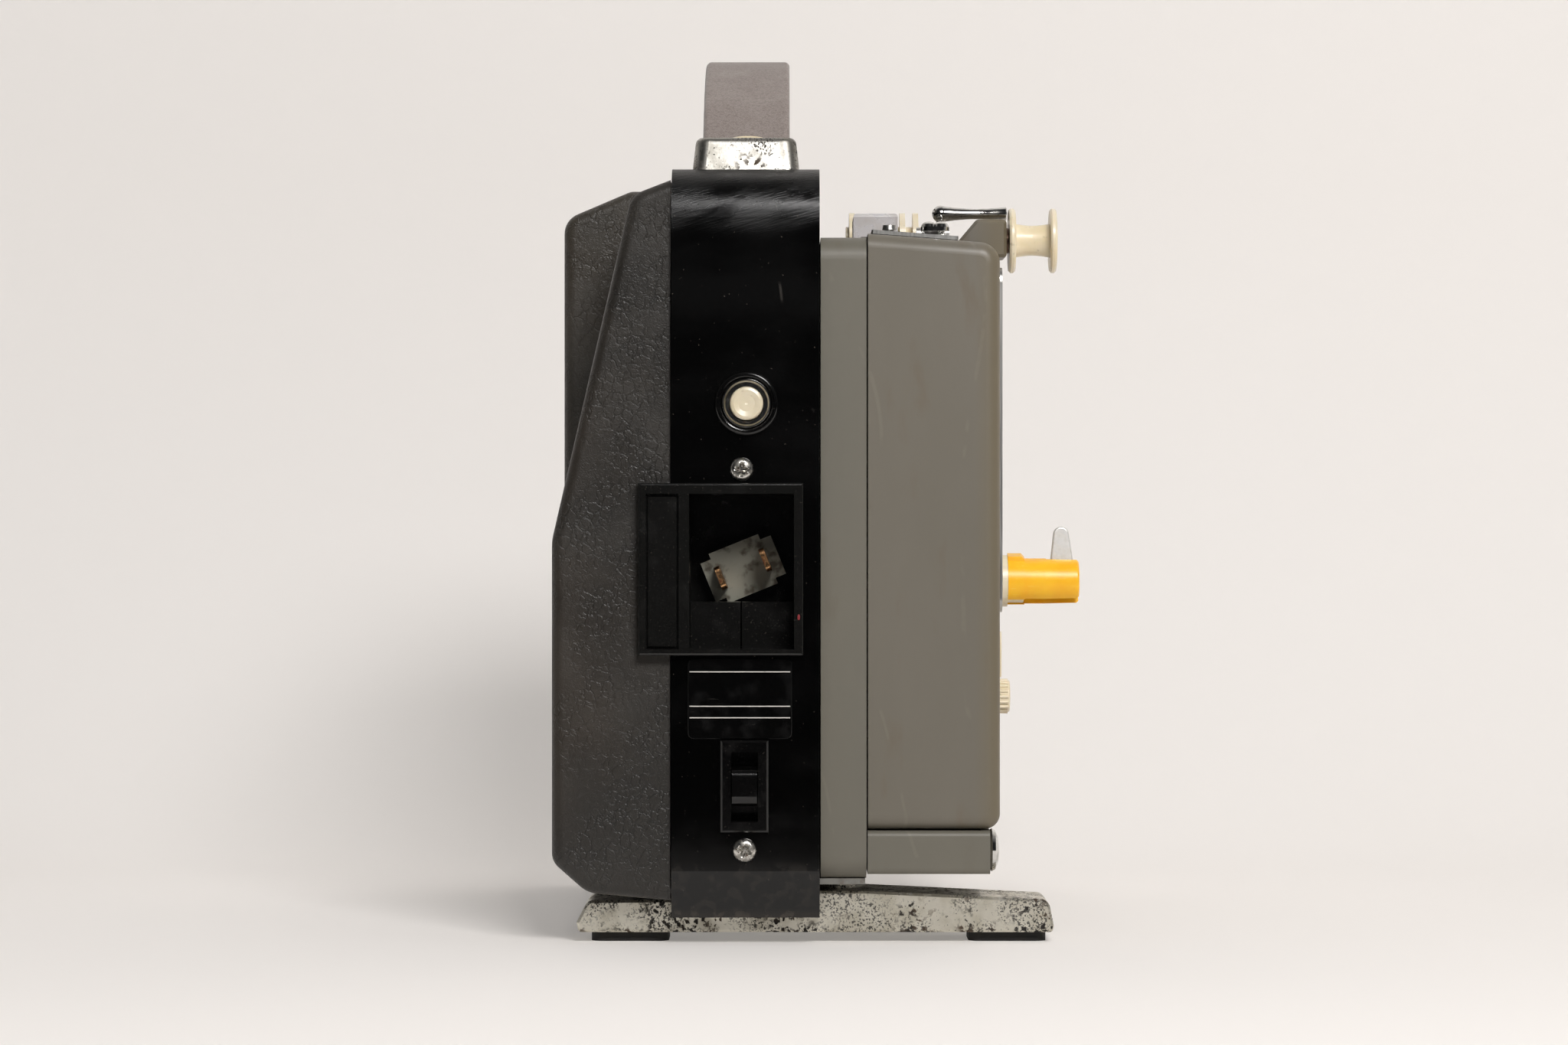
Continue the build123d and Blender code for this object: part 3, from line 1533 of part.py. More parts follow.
def shutter():
    """The three-bladed shutter on its shaft with the small wheel that drives it."""
    disc = rod_y(shutter_radius, shutter_y, lens_x, shutter_z)
    for index in range(3):
        points = []
        for share in (-0.5, -0.25, 0, 0.25, 0.5):
            angle = math.radians(30 + 120 * index + share * 62)
            reach = shutter_radius + 4
            points.append((lens_x + reach * math.cos(angle), shutter_z + reach * math.sin(angle)))
        for share in (0.5, 0.25, 0, -0.25, -0.5):
            angle = math.radians(30 + 120 * index + share * 62)
            points.append((lens_x + shutter_hub * math.cos(angle), shutter_z + shutter_hub * math.sin(angle)))
        disc -= prism_y(points, 0, (shutter_y[0] - 1, shutter_y[1] + 1))
    rear = main_y - 6
    disc += rod_y(main_radius, (rear, shutter_y[1] + 1.5), lens_x, shutter_z)
    disc += rod_y(4.0, (shutter_y[0] - 3, shutter_y[1] + 0.8), lens_x, shutter_z)
    disc += rod_y(pinion_radius, (main_y - 4, main_y + 4), lens_x, shutter_z)
    return disc


rotor_radius = 12.8
rotor_gap = 0.5
stator_x = (-26.0, -6.0)
fan_x = (-46.0, -38.0)
fan_radius = 24.0
fan_blades = 12


def motor_stator():
    """The motor's laminated stator with end plate, rear bearing bar and winding."""
    half = motor_size / 2
    square = [
        (motor_y - half, motor_z - half),
        (motor_y + half, motor_z - half),
        (motor_y + half, motor_z + half),
        (motor_y - half, motor_z + half),
    ]
    frame = prism_x(square, 3.0, (stator_x[0], stator_right))
    frame -= rod_x(rotor_radius + rotor_gap, (stator_x[0] - 1, stator_x[1]), motor_y, motor_z)
    bar_x = (stator_x[0] - 4, stator_x[0])
    bar = span_box(bar_x, (motor_y - half, motor_y + half), (motor_z - 5, motor_z + 5))
    reach = rotor_radius + 4
    bar -= span_box(
        (stator_x[0] - 1.5, stator_x[0] + 1),
        (motor_y - reach, motor_y + reach),
        (motor_z - 6, motor_z + 6),
    )
    frame += bar
    frame -= rod_x(main_radius + running_gap, (stator_x[0] - 5, stator_right + 1), motor_y, motor_z)
    winding = span_box(
        (stator_x[0] - 6, stator_x[0]), (motor_y - 19, motor_y + 19), (motor_z - half + 1, motor_z - 14)
    )
    winding = fillet(winding.edges().filter_by(Axis.X), 2.5)
    return Compound([frame, winding])


def motor_rotor():
    """The rotor with its shaft, its belt pulley and the cooling fan."""
    rotor = rod_x(rotor_radius, (stator_x[0] + 0.5, stator_x[1] - 0.5), motor_y, motor_z)
    rotor += rod_x(main_radius, (fan_x[0], belt_x[0][1] + 0.4), motor_y, motor_z)
    rotor += grooved_pulley(motor_pulley_radius, belt_x[0], motor_y, motor_z)
    rotor += rod_x(6.0, (fan_x[0] + 0.5, fan_x[1]), motor_y, motor_z)
    rotor += rod_x(fan_radius, (fan_x[1] - 1.2, fan_x[1]), motor_y, motor_z)
    for index in range(fan_blades):
        blade_shape = Pos((fan_x[0] + fan_x[1] - 1.2) / 2, 0, fan_radius * 0.68) * Box(
            fan_x[1] - fan_x[0] - 1.0, 1.0, fan_radius * 0.6
        )
        rotor += Pos(0, motor_y, motor_z) * Rot(360 * index / fan_blades, 0, 0) * blade_shape
    return rotor


def belt(from_yz, from_radius, to_yz, to_radius, x):
    """A flat belt round two pulleys, clear of both."""
    plane = Plane(origin=((x[0] + x[1]) / 2 - belt_width / 2, 0, 0), x_dir=(0, 1, 0), z_dir=(1, 0, 0))

    def loop(extra):
        first = Pos(*from_yz) * Circle(from_radius + extra)
        second = Pos(*to_yz) * Circle(to_radius + extra)
        return extrude(plane * make_hull((first + second).edges()), belt_width)

    return loop(belt_gap + belt_thick) - loop(belt_gap)


belt_width = 1.6


def drive_belts():
    """The motor belt and the take-up belt."""
    motor = (motor_y, motor_z)
    main = (main_y, main_z)
    take_up = (take_up_y, take_up_z)
    first = belt(motor, motor_pulley_radius, main, drive_pulley_radius, belt_x[0])
    second = belt(main, clutch_pulley_radius, take_up, take_up_pulley_radius, belt_x[1])
    return Compound([first, second])


transformer_y = (front_y - 76.0, front_y - 26.0)
transformer_x = (-12.0, 12.0)
transformer_high = 44.0
limb = 10.0


def transformer():
    """The lamp transformer: a laminated core and its winding round the middle limb."""
    foot = chassis_foot
    top = foot + transformer_high
    core = span_box(transformer_x, transformer_y, (foot, top))
    middle = (transformer_y[0] + transformer_y[1]) / 2
    window_z = (foot + 8, top - 8)
    core -= span_box((-50, 50), (transformer_y[0] + 8, middle - limb), window_z)
    core -= span_box((-50, 50), (middle + limb, transformer_y[1] - 8), window_z)
    coil_x = (transformer_x[0] - 5.5, transformer_x[1] + 5.5)
    coil_y = (transformer_y[0] + 8.4, transformer_y[1] - 8.4)
    coil = span_box(coil_x, coil_y, (window_z[0] + 0.4, window_z[1] - 0.4))
    coil = fillet(coil.edges().filter_by(Axis.Z), 2.5)
    coil -= span_box(transformer_x, (middle - limb, middle + limb), (foot, top))
    return Compound([core, coil])


lamp_mouth = -12.0
lamp_radius = 21.0
lamp_length = 24.0
lamp_base = 6.5
shelf_z = (66.0, 67.5)


def lamp():
    """The lamp in its mirrored bowl, with the base that stands in the holder."""
    steps = 8
    glass = 1.3
    outer = []
    inner = []
    for index in range(steps + 1):
        share = index / steps
        radius = lamp_base + (lamp_radius - lamp_base) * math.sqrt(share)
        x = lamp_mouth - lamp_length * (1 - share)
        outer.append((x, radius))
        if radius - glass > 4.6:
            inner.append((x + glass, max(radius - glass, 4.6)))
    inner[-1] = (lamp_mouth, lamp_radius - glass)
    back = lamp_mouth - lamp_length
    profile = [(back - 7, 0), (back - 7, lamp_base - 1)] + [(back, lamp_base - 1)] + outer
    profile += list(reversed(inner))
    profile += [(inner[0][0], 3.2), (back + 12, 3.2), (back + 14, 0)]
    return turned_x(profile, lamp_y, lens_z)


def lamp_shelf():
    """The sheet shelf from the chassis, with the upright that holds the lamp's base."""
    back = lamp_mouth - lamp_length
    shelf_y = (lamp_y - 17, lamp_y + 17)
    shelf = span_box((back - 7, chassis_in), shelf_y, shelf_z)
    shelf += span_box((chassis_in - 1.5, chassis_in), shelf_y, (shelf_z[0] - 8, shelf_z[1]))
    upright = span_box((back - 5, back - 1), (lamp_y - 12, lamp_y + 12), (shelf_z[0], lens_z + 12))
    upright = fillet(upright.faces().sort_by(Axis.Z)[-1].edges().filter_by(Axis.X), 4.0)
    shelf += upright
    return shelf - rod_x(lamp_base - 1 + running_gap, (back - 8, back + 1), lamp_y, lens_z)


def turning_mirror():
    """The mirror that turns the beam from across the body to along the lens."""
    offset_in = mirror_thick / 2 * math.sqrt(0.5)
    plate = Box(mirror_size, mirror_thick, mirror_size)
    return Pos(lens_x + offset_in, lamp_y - offset_in, lens_z) * Rot(0, 0, 45) * plate


gate_y = (front_y - 47.0, front_y - 44.5)
gate_x = (chassis_in + chassis_web, 57.0)
gate_z = (66.0, 124.0)
frame_size = (5.8, 4.2)
gate_pins = [(39.5, 82.0), (48.5, 108.0)]
gate_pin = 1.2
pressure_gap = 0.6
pressure_thick = 1.5


def aperture_plate():
    """The film gate: a plate with the picture's window, a film channel and two guide pins."""
    plate = span_box(gate_x, gate_y, gate_z)
    channel_y = (gate_y[1] - 0.3, gate_y[1] + 1)
    plate -= span_box((lens_x - 4, lens_x + 4), channel_y, (gate_z[0] - 1, gate_z[1] + 1))
    plate -= span_box(
        (lens_x - frame_size[0] / 2, lens_x + frame_size[0] / 2),
        (gate_y[0] - 1, gate_y[1] + 1),
        (lens_z - frame_size[1] / 2, lens_z + frame_size[1] / 2),
    )
    plate -= span_box((lens_x + 1, lens_x + 2.2), (gate_y[0] - 1, gate_y[1] + 1), (lens_z - 14, lens_z - 5))
    for x, z in gate_pins:
        plate += rod_y(gate_pin, (gate_y[1] - 0.5, gate_y[1] + 9), x, z)
    return plate


def pressure_plate():
    """The sprung plate that holds the film flat, sliding on the two pins."""
    start = gate_y[1] + pressure_gap
    plate = span_box((lens_x - 7, lens_x + 7), (start, start + pressure_thick), (lens_z - 18, lens_z + 18))
    plate = fillet(plate.edges().filter_by(Axis.Y), 1.5)
    plate -= span_box((lens_x - 3.6, lens_x + 3.6), (start - 1, start + 3), (lens_z - 3, lens_z + 3))
    for x, z in gate_pins:
        plate -= rod_y(gate_pin + running_gap, (start - 1, start + 3), x, z)
    return plate


barrel_radius = 14.0
barrel_bore = 11.0
barrel_y = (front_y - 32.0, front_y)
holder_y = (front_y - 26.0, front_y - 1.0)
ring_seat = 13.0
ring_y = (front_y + 1.0, front_y + 12.5)
ring_outer = 15.8
lens_lip = ring_y[1] + 2.0


def lens_holder():
    """The tube that guides the lens, on an arm from the chassis web."""
    tube = rod_y(holder_radius, holder_y, lens_x, lens_z)
    arm_y = (holder_y[0], film_front - chassis_rim - 2)
    tube += span_box((gate_x[0], lens_x - 10), arm_y, (lens_z - 8, lens_z + 8))
    through = (holder_y[0] - 1, holder_y[1] + 1)
    tube -= rod_y(barrel_radius + running_gap, through, lens_x, lens_z)
    rack_slot_z = (lens_z - holder_radius - 1, lens_z - barrel_radius + 2)
    return tube - span_box((lens_x - 3.4, lens_x + 3.4), through, rack_slot_z)


def lens_barrel():
    """The lens barrel with its rack below, a seat for the ring and a lip in front."""
    barrel = turned_y(
        [
            (barrel_y[0], barrel_bore),
            (barrel_y[0], barrel_radius),
            (barrel_y[1], barrel_radius),
            (barrel_y[1], ring_seat),
            (ring_y[1] + 0.3, ring_seat),
            (ring_y[1] + 0.3, ring_outer - 0.8),
            (lens_lip, ring_outer - 1.6),
            (lens_lip, barrel_bore + 2),
            (ring_y[1] - 1, barrel_bore),
        ],
        lens_x,
        lens_z,
    )
    rack_z = (focus_z + pinion_reach + 0.5, lens_z - barrel_radius + 1.0)
    rack = span_box((lens_x - 3, lens_x + 3), (barrel_y[0] + 2, barrel_y[0] + 20), rack_z)
    for index in range(10):
        y = barrel_y[0] + 3.5 + index * 1.6
        rack -= span_box((lens_x - 4, lens_x + 4), (y, y + 0.7), (rack_z[0] - 1, rack_z[0] + 0.9))
    return barrel + rack


pinion_reach = 5.3


def lens_glass():
    """The front and rear elements of the lens."""
    elements = []
    for middle, bulge in ((barrel_y[1] + 7.0, 1.6), (barrel_y[0] + 4.0, -1.2)):
        face = []
        for share in (1, 0.66, 0.33, 0):
            face.append((middle + 1.5 + bulge * (1 - share ** 2), (barrel_bore - 0.02) * share))
        element = turned_y([(middle - 1.5, 0), (middle - 1.5, barrel_bore - 0.02)] + face, lens_x, lens_z)
        elements.append(element)
    return Compound(elements)


def zoom_ring():
    """The grip ring round the lens, with ribs along its rim."""
    ring = rod_y(ring_outer - 0.5, ring_y, lens_x, lens_z)
    ribs = 30
    for index in range(ribs):
        turn = 2 * math.pi * index / ribs
        x = lens_x + (ring_outer - 0.6) * math.cos(turn)
        z = lens_z + (ring_outer - 0.6) * math.sin(turn)
        ring += rod_y(0.6, (ring_y[0] + 1, ring_y[1] - 1), x, z)
    return ring - rod_y(ring_seat + running_gap, (ring_y[0] - 1, ring_y[1] + 1), lens_x, lens_z)


def focus_knob():
    """The focus knob with its shaft through the cover and the pinion under the rack."""
    start = mechanism_out + 0.4
    knob = ribbed_knob(7.0, 24, (start, start + 5.6), focus_y, focus_z)
    knob += rod_x(2.0, (skew_x[0] - 1, start + 0.1), focus_y, focus_z)
    return knob + rod_x(pinion_reach, (lens_x - 4, lens_x + 4), focus_y, focus_z)


def gate_door():
    """The flush door over the gate, with its knuckles and a finger lip."""
    inner = mechanism_out - cover_wall
    panel = span_box(
        (inner, mechanism_out),
        (door_rear + door_gap, door_front - door_gap),
        (door_foot + door_gap, door_top - door_gap),
    )
    lip_y = (door_front - door_gap - 5, door_front - door_gap - 3)
    lip = span_box((mechanism_out - 0.1, mechanism_out + 1.6), lip_y, (lens_z - 9, lens_z + 9))
    panel += fillet(lip.faces().sort_by(Axis.X)[-1].outer_wire().edges(), 0.8)
    for z in door_knuckles:
        panel += knuckle(z, 1)
    for z in cover_knuckles:
        panel -= rod_z(knuckle_radius + 0.3, (z[0] - 0.3, z[1] + 0.3), hinge_x, hinge_y)
    return panel - rod_z(hinge_pin + running_gap, (door_foot, door_top), hinge_x, hinge_y)


keep("fascia_plate", fascia_plate())
keep("function_knob", function_knob())
keep("inching_knob", inching_knob())
keep("main_shaft", main_shaft())
keep("film_sprocket", film_sprocket())
keep("shutter", shutter())
keep("motor_stator", motor_stator())
keep("motor_rotor", motor_rotor())
keep("drive_belts", drive_belts())
keep("transformer", transformer())
keep("lamp", lamp())
keep("lamp_shelf", lamp_shelf())
keep("turning_mirror", turning_mirror())
keep("aperture_plate", aperture_plate())
keep("pressure_plate", pressure_plate())
keep("lens_holder", lens_holder())
keep("lens_barrel", lens_barrel())
keep("lens_glass", lens_glass())
keep("zoom_ring", zoom_ring())
keep("focus_knob", focus_knob())
keep("gate_door", gate_door())


def origin_shift():
    """The move that puts the origin under the middle of the whole object."""
    boxes = [shape.bounding_box() for shape in nodes.values()]
    middle_x = (min(box.min.X for box in boxes) + max(box.max.X for box in boxes)) / 2
    middle_y = (min(box.min.Y for box in boxes) + max(box.max.Y for box in boxes)) / 2
    return (-middle_x, -middle_y, -min(box.min.Z for box in boxes))


shift = origin_shift()
os.makedirs("parts", exist_ok=True)
for name, shape in nodes.items():
    export_step(Pos(*shift) * shape, "parts/" + name + ".step")
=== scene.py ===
import math

import bmesh
import bpy
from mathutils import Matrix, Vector


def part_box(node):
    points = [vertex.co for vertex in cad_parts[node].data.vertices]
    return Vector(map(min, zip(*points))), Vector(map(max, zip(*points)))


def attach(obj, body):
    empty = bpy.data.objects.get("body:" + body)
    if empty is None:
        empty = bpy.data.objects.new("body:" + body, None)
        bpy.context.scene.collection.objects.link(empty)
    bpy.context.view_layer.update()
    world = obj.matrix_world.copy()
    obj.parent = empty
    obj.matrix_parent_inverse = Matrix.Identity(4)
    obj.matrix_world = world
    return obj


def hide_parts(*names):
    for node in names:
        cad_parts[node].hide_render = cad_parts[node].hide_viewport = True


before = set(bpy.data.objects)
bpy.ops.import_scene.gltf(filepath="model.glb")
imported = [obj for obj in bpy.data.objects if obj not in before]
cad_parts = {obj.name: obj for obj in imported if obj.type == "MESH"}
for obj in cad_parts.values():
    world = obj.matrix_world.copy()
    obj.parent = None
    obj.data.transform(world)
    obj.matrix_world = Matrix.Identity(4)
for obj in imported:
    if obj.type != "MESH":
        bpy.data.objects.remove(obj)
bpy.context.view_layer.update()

scene = bpy.context.scene
scene.view_settings.view_transform = "Standard"

# The middle and the rear face of the black band in metres, then the part's own values in
# millimetres that the added pieces need: x from that middle, y from that face, z from the ground
band_middle = (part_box("spine_band")[0].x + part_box("spine_band")[1].x) / 2
rear_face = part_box("rear_leg")[0].y - 0.011
screw_radius = 3.1
screw_high = 1.6
shank_radius = 1.5
shank_length = 9.0
rear_screws = ((-1.0, 124.6), (-0.2, 25.1))
leg_screws = ((-8.0, 23.0, 4.6), (24.0, 23.0, 4.6), (-9.0, 173.0, 7.0), (9.0, 173.0, 7.0))
pin_radius = 1.5
pin_length = 25.2
pin_places = ((28.35, 209.6), (167.65, 209.6))
plate_sides = (-15.0, 12.1)
plate_levels = (54.2, 75.1)
plate_proud = 0.3
rule_sides = (-14.6, 11.7)
rule_levels = (71.7, 62.7, 59.7)
rule_half = 0.12
strip_middle = (67.05, 23.0, 76.0)
strip_size = (0.5, 30.0, 12.0)
tab_middle = (0.4, 28.0, 213.2)
tab_reach = (5.0, 0.75, 0.95)
mark_middle = (13.9, -2.5, 86.0)
mark_reach = (0.35, 0.12, 0.75)

# The room in metres, and the share of the paper's brightness that is its own
floor_reach = 3.0
bend_start = 0.15
bend_radius = 0.24
bend_steps = 24
paper_glow = 0.25
gloss_dark_from = -0.42
gloss_dark_to = -0.24


def at(x, y, z):
    """A place given in the part's millimetres, in metres in the shared frame."""
    return Vector((band_middle + x / 1000, rear_face + y / 1000, z / 1000))


# Nodes and colours

def linear(text):
    """An sRGB hex colour as linear red, green, blue and a full alpha."""
    parts = [int(text[index:index + 2], 16) / 255 for index in (1, 3, 5)]
    return [c / 12.92 if c <= 0.04045 else ((c + 0.055) / 1.055) ** 2.4 for c in parts] + [1.0]


def add(tree, kind, links=None, **settings):
    """Adds a node. links gives its inputs, each a value or another node's output."""
    node = tree.nodes.new(kind)
    for name, value in settings.items():
        setattr(node, name, value)
    for name, value in (links or {}).items():
        if isinstance(value, bpy.types.NodeSocket):
            tree.links.new(value, node.inputs[name])
        else:
            node.inputs[name].default_value = value
    return node


def new_surface(name, **sockets):
    """A material with one shader whose constant sockets are given, and its place in millimetres."""
    material = bpy.data.materials.new(name)
    material.use_nodes = True
    tree = material.node_tree
    tree.nodes.clear()
    out = add(tree, "ShaderNodeOutputMaterial")
    shader = add(tree, "ShaderNodeBsdfPrincipled", {key.replace("_", " "): v for key, v in sockets.items()})
    tree.links.new(shader.outputs[0], out.inputs[0])
    place = add(tree, "ShaderNodeTexCoord").outputs["Object"]
    mm = add(tree, "ShaderNodeVectorMath", {0: place, "Scale": 1000.0}, operation="SCALE").outputs[0]
    return material, tree, shader, mm


def combine(tree, operation, first, second):
    """One step of arithmetic on two numbers."""
    return add(tree, "ShaderNodeMath", {0: first, 1: second}, operation=operation).outputs[0]


def level(tree, value, low, high):
    """0 at the low level of a value and 1 at its high one, with soft ends."""
    links = {0: value, 1: low, 2: high}
    return add(tree, "ShaderNodeMapRange", links, interpolation_type="SMOOTHSTEP").outputs[0]


def ramp(tree, value, low, high):
    """0 at the low level of a value and 1 at its high one, in a straight line."""
    return add(tree, "ShaderNodeMapRange", {0: value, 1: low, 2: high}).outputs[0]


def noise(tree, place, scale, detail):
    """Noise from 0 to 1; scale is how many of its lumps fit in a millimetre."""
    return add(tree, "ShaderNodeTexNoise", {"Vector": place, "Scale": scale, "Detail": detail}).outputs[0]


def spots(tree, mm, size, low, high, detail=3.0, stretch=(1, 1, 1)):
    """A mask from 0 to 1: noise of a size in millimetres, cut off between two levels."""
    turned = add(tree, "ShaderNodeMapping", {0: mm, "Scale": stretch}).outputs[0]
    return level(tree, noise(tree, turned, 1 / size, detail), low, high)


def arc_scratches(tree, mm, wave, finer, thin, patch):
    """Thin curved scratches in patches: wave is its scale and distortion, thin where a line starts."""
    links = {"Vector": mm, "Scale": wave[0], "Distortion": wave[1], "Detail": 1.5, "Detail Scale": finer}
    arcs = add(tree, "ShaderNodeTexWave", links, bands_direction="DIAGONAL").outputs["Fac"]
    return combine(tree, "MULTIPLY", level(tree, arcs, thin, 1.0), spots(tree, mm, *patch))


def wandering(tree, mm, scale, detail, amount):
    """The place moved about by noise, by up to an amount in millimetres."""
    bend = add(tree, "ShaderNodeTexNoise", {"Vector": mm, "Scale": scale, "Detail": detail}).outputs["Color"]
    warp = add(tree, "ShaderNodeVectorMath", {0: bend, "Scale": amount}, operation="SCALE").outputs[0]
    return add(tree, "ShaderNodeVectorMath", {0: mm, 1: warp}, operation="ADD").outputs[0]


def cell_edges(tree, place, scale):
    """The distance to the nearest edge between cells, scale of which fit in a millimetre."""
    links = {"Vector": place, "Scale": scale}
    return add(tree, "ShaderNodeTexVoronoi", links, feature="DISTANCE_TO_EDGE").outputs["Distance"]


def blend_colours(tree, mask, first, second):
    """The first colour where the mask is 0 and the second where it is 1."""
    colours = [linear(c) if isinstance(c, str) else c for c in (first, second)]
    mix = add(tree, "ShaderNodeMix", {0: mask, 6: colours[0], 7: colours[1]}, data_type="RGBA")
    return mix.outputs[2]


def between(tree, mask, low, high):
    """A number that goes from low to high with the mask."""
    return add(tree, "ShaderNodeMapRange", {0: mask, 3: low, 4: high}).outputs[0]


def dents(tree, shader, *heights):
    """Bump from (height, millimetres, strength) one after the other."""
    normal = None
    for height, depth, strength in heights:
        links = {"Height": height, "Distance": depth / 1000, "Strength": strength}
        if normal is not None:
            links["Normal"] = normal
        normal = add(tree, "ShaderNodeBump", links).outputs[0]
    tree.links.new(normal, shader.inputs["Normal"])


def join(tree, output, shader, socket):
    """Links an output to a socket of the shader."""
    tree.links.new(output, shader.inputs[socket])


# Materials

def grained_abs(name, ridge_colour, crease_colour, dust_colour):
    """ABS moulded against a leather-etched tool: dull, dark warm grey, fine creases, rubbed ridges."""
    material, tree, shader, mm = new_surface(name, IOR=1.5)
    warped = wandering(tree, mm, 0.5, 3.0, 3.0)
    # creases 2.4 mm apart, longer upwards, and pebbles of 0.8 mm between them
    tall = add(tree, "ShaderNodeMapping", {0: warped, "Scale": (1.0, 1.0, 0.7)}).outputs[0]
    crease = level(tree, cell_edges(tree, tall, 0.42), 0.0, 0.13)
    pebble = ramp(tree, cell_edges(tree, warped, 1.25), 0.0, 0.3)
    fine = noise(tree, mm, 3.0, 2.0)
    patchy = spots(tree, mm, 9.0, 0.35, 0.65)
    deep = combine(tree, "MAXIMUM", crease, patchy)
    dust = spots(tree, mm, 26.0, 0.42, 0.68)
    brown = spots(tree, mm, 60.0, 0.5, 0.72)
    ridge = blend_colours(tree, deep, crease_colour, ridge_colour)
    pebbled = blend_colours(tree, between(tree, pebble, 0.5, 0.0), ridge, crease_colour)
    dusty = blend_colours(tree, between(tree, dust, 0.0, 0.3), pebbled, dust_colour)
    colour = blend_colours(tree, between(tree, brown, 0.0, 0.3), dusty, "#3B3024")
    join(tree, colour, shader, "Base Color")
    join(tree, between(tree, dust, 0.4, 0.52), shader, "Roughness")
    dents(tree, shader, (deep, 0.16, 0.7), (pebble, 0.05, 0.55), (fine, 0.02, 0.5))
    return material


def glossy_black_abs():
    """Polished black ABS: deep black, rubbed at the upper bend, with rare scratches, specks and stains."""
    material, tree, shader, mm = new_surface("polished_black_abs", IOR=1.5)
    height = add(tree, "ShaderNodeSeparateXYZ", {0: mm}).outputs["Z"]
    # hairlines of 0.2 mm run level over the bend, where the case is carried and set down
    tilted = add(tree, "ShaderNodeMapping", {0: mm, "Rotation": (0.0, math.radians(16), 0.0)}).outputs[0]
    rub_lines = spots(tree, tilted, 0.45, 0.42, 0.62, 4.0, (0.07, 1.0, 1.3))
    rub_cloud = spots(tree, tilted, 9.0, 0.2, 0.6, 4.0, (0.4, 1.0, 1.2))
    rub_soft = combine(tree, "MULTIPLY", rub_cloud, level(tree, height, 184.0, 191.0))
    rubbed = combine(tree, "MULTIPLY", rub_lines, rub_soft)
    scratch = arc_scratches(tree, mm, (0.02, 26.0), 0.35, 0.995, (15.0, 0.6, 0.66))
    dust = spots(tree, mm, 0.7, 0.76, 0.8, 1.0)
    smudge = spots(tree, mm, 18.0, 0.4, 0.7, 4.0, (0.5, 1.0, 1.0))
    stain_noise = spots(tree, mm, 3.0, 0.5, 0.62, 5.0)
    # grime gathers under the band's crease and on its lower lip
    crease = combine(tree, "MULTIPLY", level(tree, height, 23.0, 19.0), stain_noise)
    lip = combine(tree, "MULTIPLY", level(tree, height, 10.0, 7.6), between(tree, stain_noise, 0.3, 1.0))
    grime = combine(tree, "MAXIMUM", between(tree, crease, 0.0, 0.25), lip)
    film = blend_colours(tree, smudge, "#030303", "#060606")
    marked = blend_colours(tree, between(tree, scratch, 0.0, 0.5), film, "#45423F")
    dusty = blend_colours(tree, between(tree, dust, 0.0, 0.5), marked, "#5A544C")
    join(tree, blend_colours(tree, grime, dusty, "#35302A"), shader, "Base Color")
    base_rough = between(tree, smudge, 0.1, 0.2)
    worn = combine(tree, "ADD", base_rough, between(tree, rub_soft, 0.0, 0.28))
    join(tree, combine(tree, "ADD", worn, between(tree, grime, 0.0, 0.3)), shader, "Roughness")
    ripple = noise(tree, mm, 0.05, 1.0)
    dents(tree, shader, (ripple, 0.3, 0.12), (rubbed, 0.03, 0.8), (scratch, -0.01, 0.4))
    return material


def black_abs(name, colour_text, low, high):
    """Black ABS from a spark-eroded tool: an even satin, a little grey where hands and dust reach."""
    material, tree, shader, mm = new_surface(name, IOR=1.53)
    spark = noise(tree, mm, 3.2, 3.0)
    dust = spots(tree, mm, 7.0, 0.5, 0.72, 5.0)
    lint = spots(tree, mm, 0.45, 0.69, 0.75, 1.0)
    dusty = blend_colours(tree, between(tree, dust, 0.0, 0.1), colour_text, "#211F1C")
    colour = blend_colours(tree, between(tree, lint, 0.0, 0.25), dusty, "#5E5850")
    join(tree, colour, shader, "Base Color")
    join(tree, between(tree, dust, low, high), shader, "Roughness")
    dents(tree, shader, (spark, 0.02, 0.5))
    return material


def grey_paint(name, light, dark, stain, stain_share, edge=None):
    """Stoved grey paint on a casting: satin, faint orange peel, scuff arcs and brown stains.

    edge is the x in millimetres past which hands have browned it.
    """
    material, tree, shader, mm = new_surface(name, IOR=1.5, Coat_Weight=0.05, Coat_Roughness=0.25)
    cloud = spots(tree, mm, 45.0, 0.35, 0.7, 4.0, (1.0, 1.0, 0.35))
    stains = spots(tree, mm, 12.0, 0.55, 0.74, 6.0, (1.6, 1.0, 0.5))
    specks = spots(tree, mm, 0.9, 0.75, 0.8, 2.0)
    scuff = arc_scratches(tree, mm, (0.016, 34.0), 0.3, 0.993, (13.0, 0.55, 0.62))
    peel = noise(tree, mm, 0.9, 2.0)
    fine = noise(tree, mm, 5.0, 1.0)
    base = blend_colours(tree, cloud, light, dark)
    stained = blend_colours(tree, between(tree, stains, 0.0, stain_share), base, stain)
    if edge is not None:
        across = add(tree, "ShaderNodeSeparateXYZ", {0: mm}).outputs["X"]
        handled = ramp(tree, across, edge, edge + 6.0)
        stained = blend_colours(tree, between(tree, handled, 0.0, 0.5), stained, "#6C5F42")
    scuffed = blend_colours(tree, between(tree, scuff, 0.0, 0.15), stained, "#8A8578")
    colour = blend_colours(tree, between(tree, specks, 0.0, 0.5), scuffed, "#4E463A")
    join(tree, colour, shader, "Base Color")
    rough = combine(tree, "ADD", between(tree, cloud, 0.42, 0.52), between(tree, scuff, 0.0, -0.06))
    join(tree, rough, shader, "Roughness")
    dents(tree, shader, (peel, 0.03, 0.35), (fine, 0.008, 0.4))
    return material


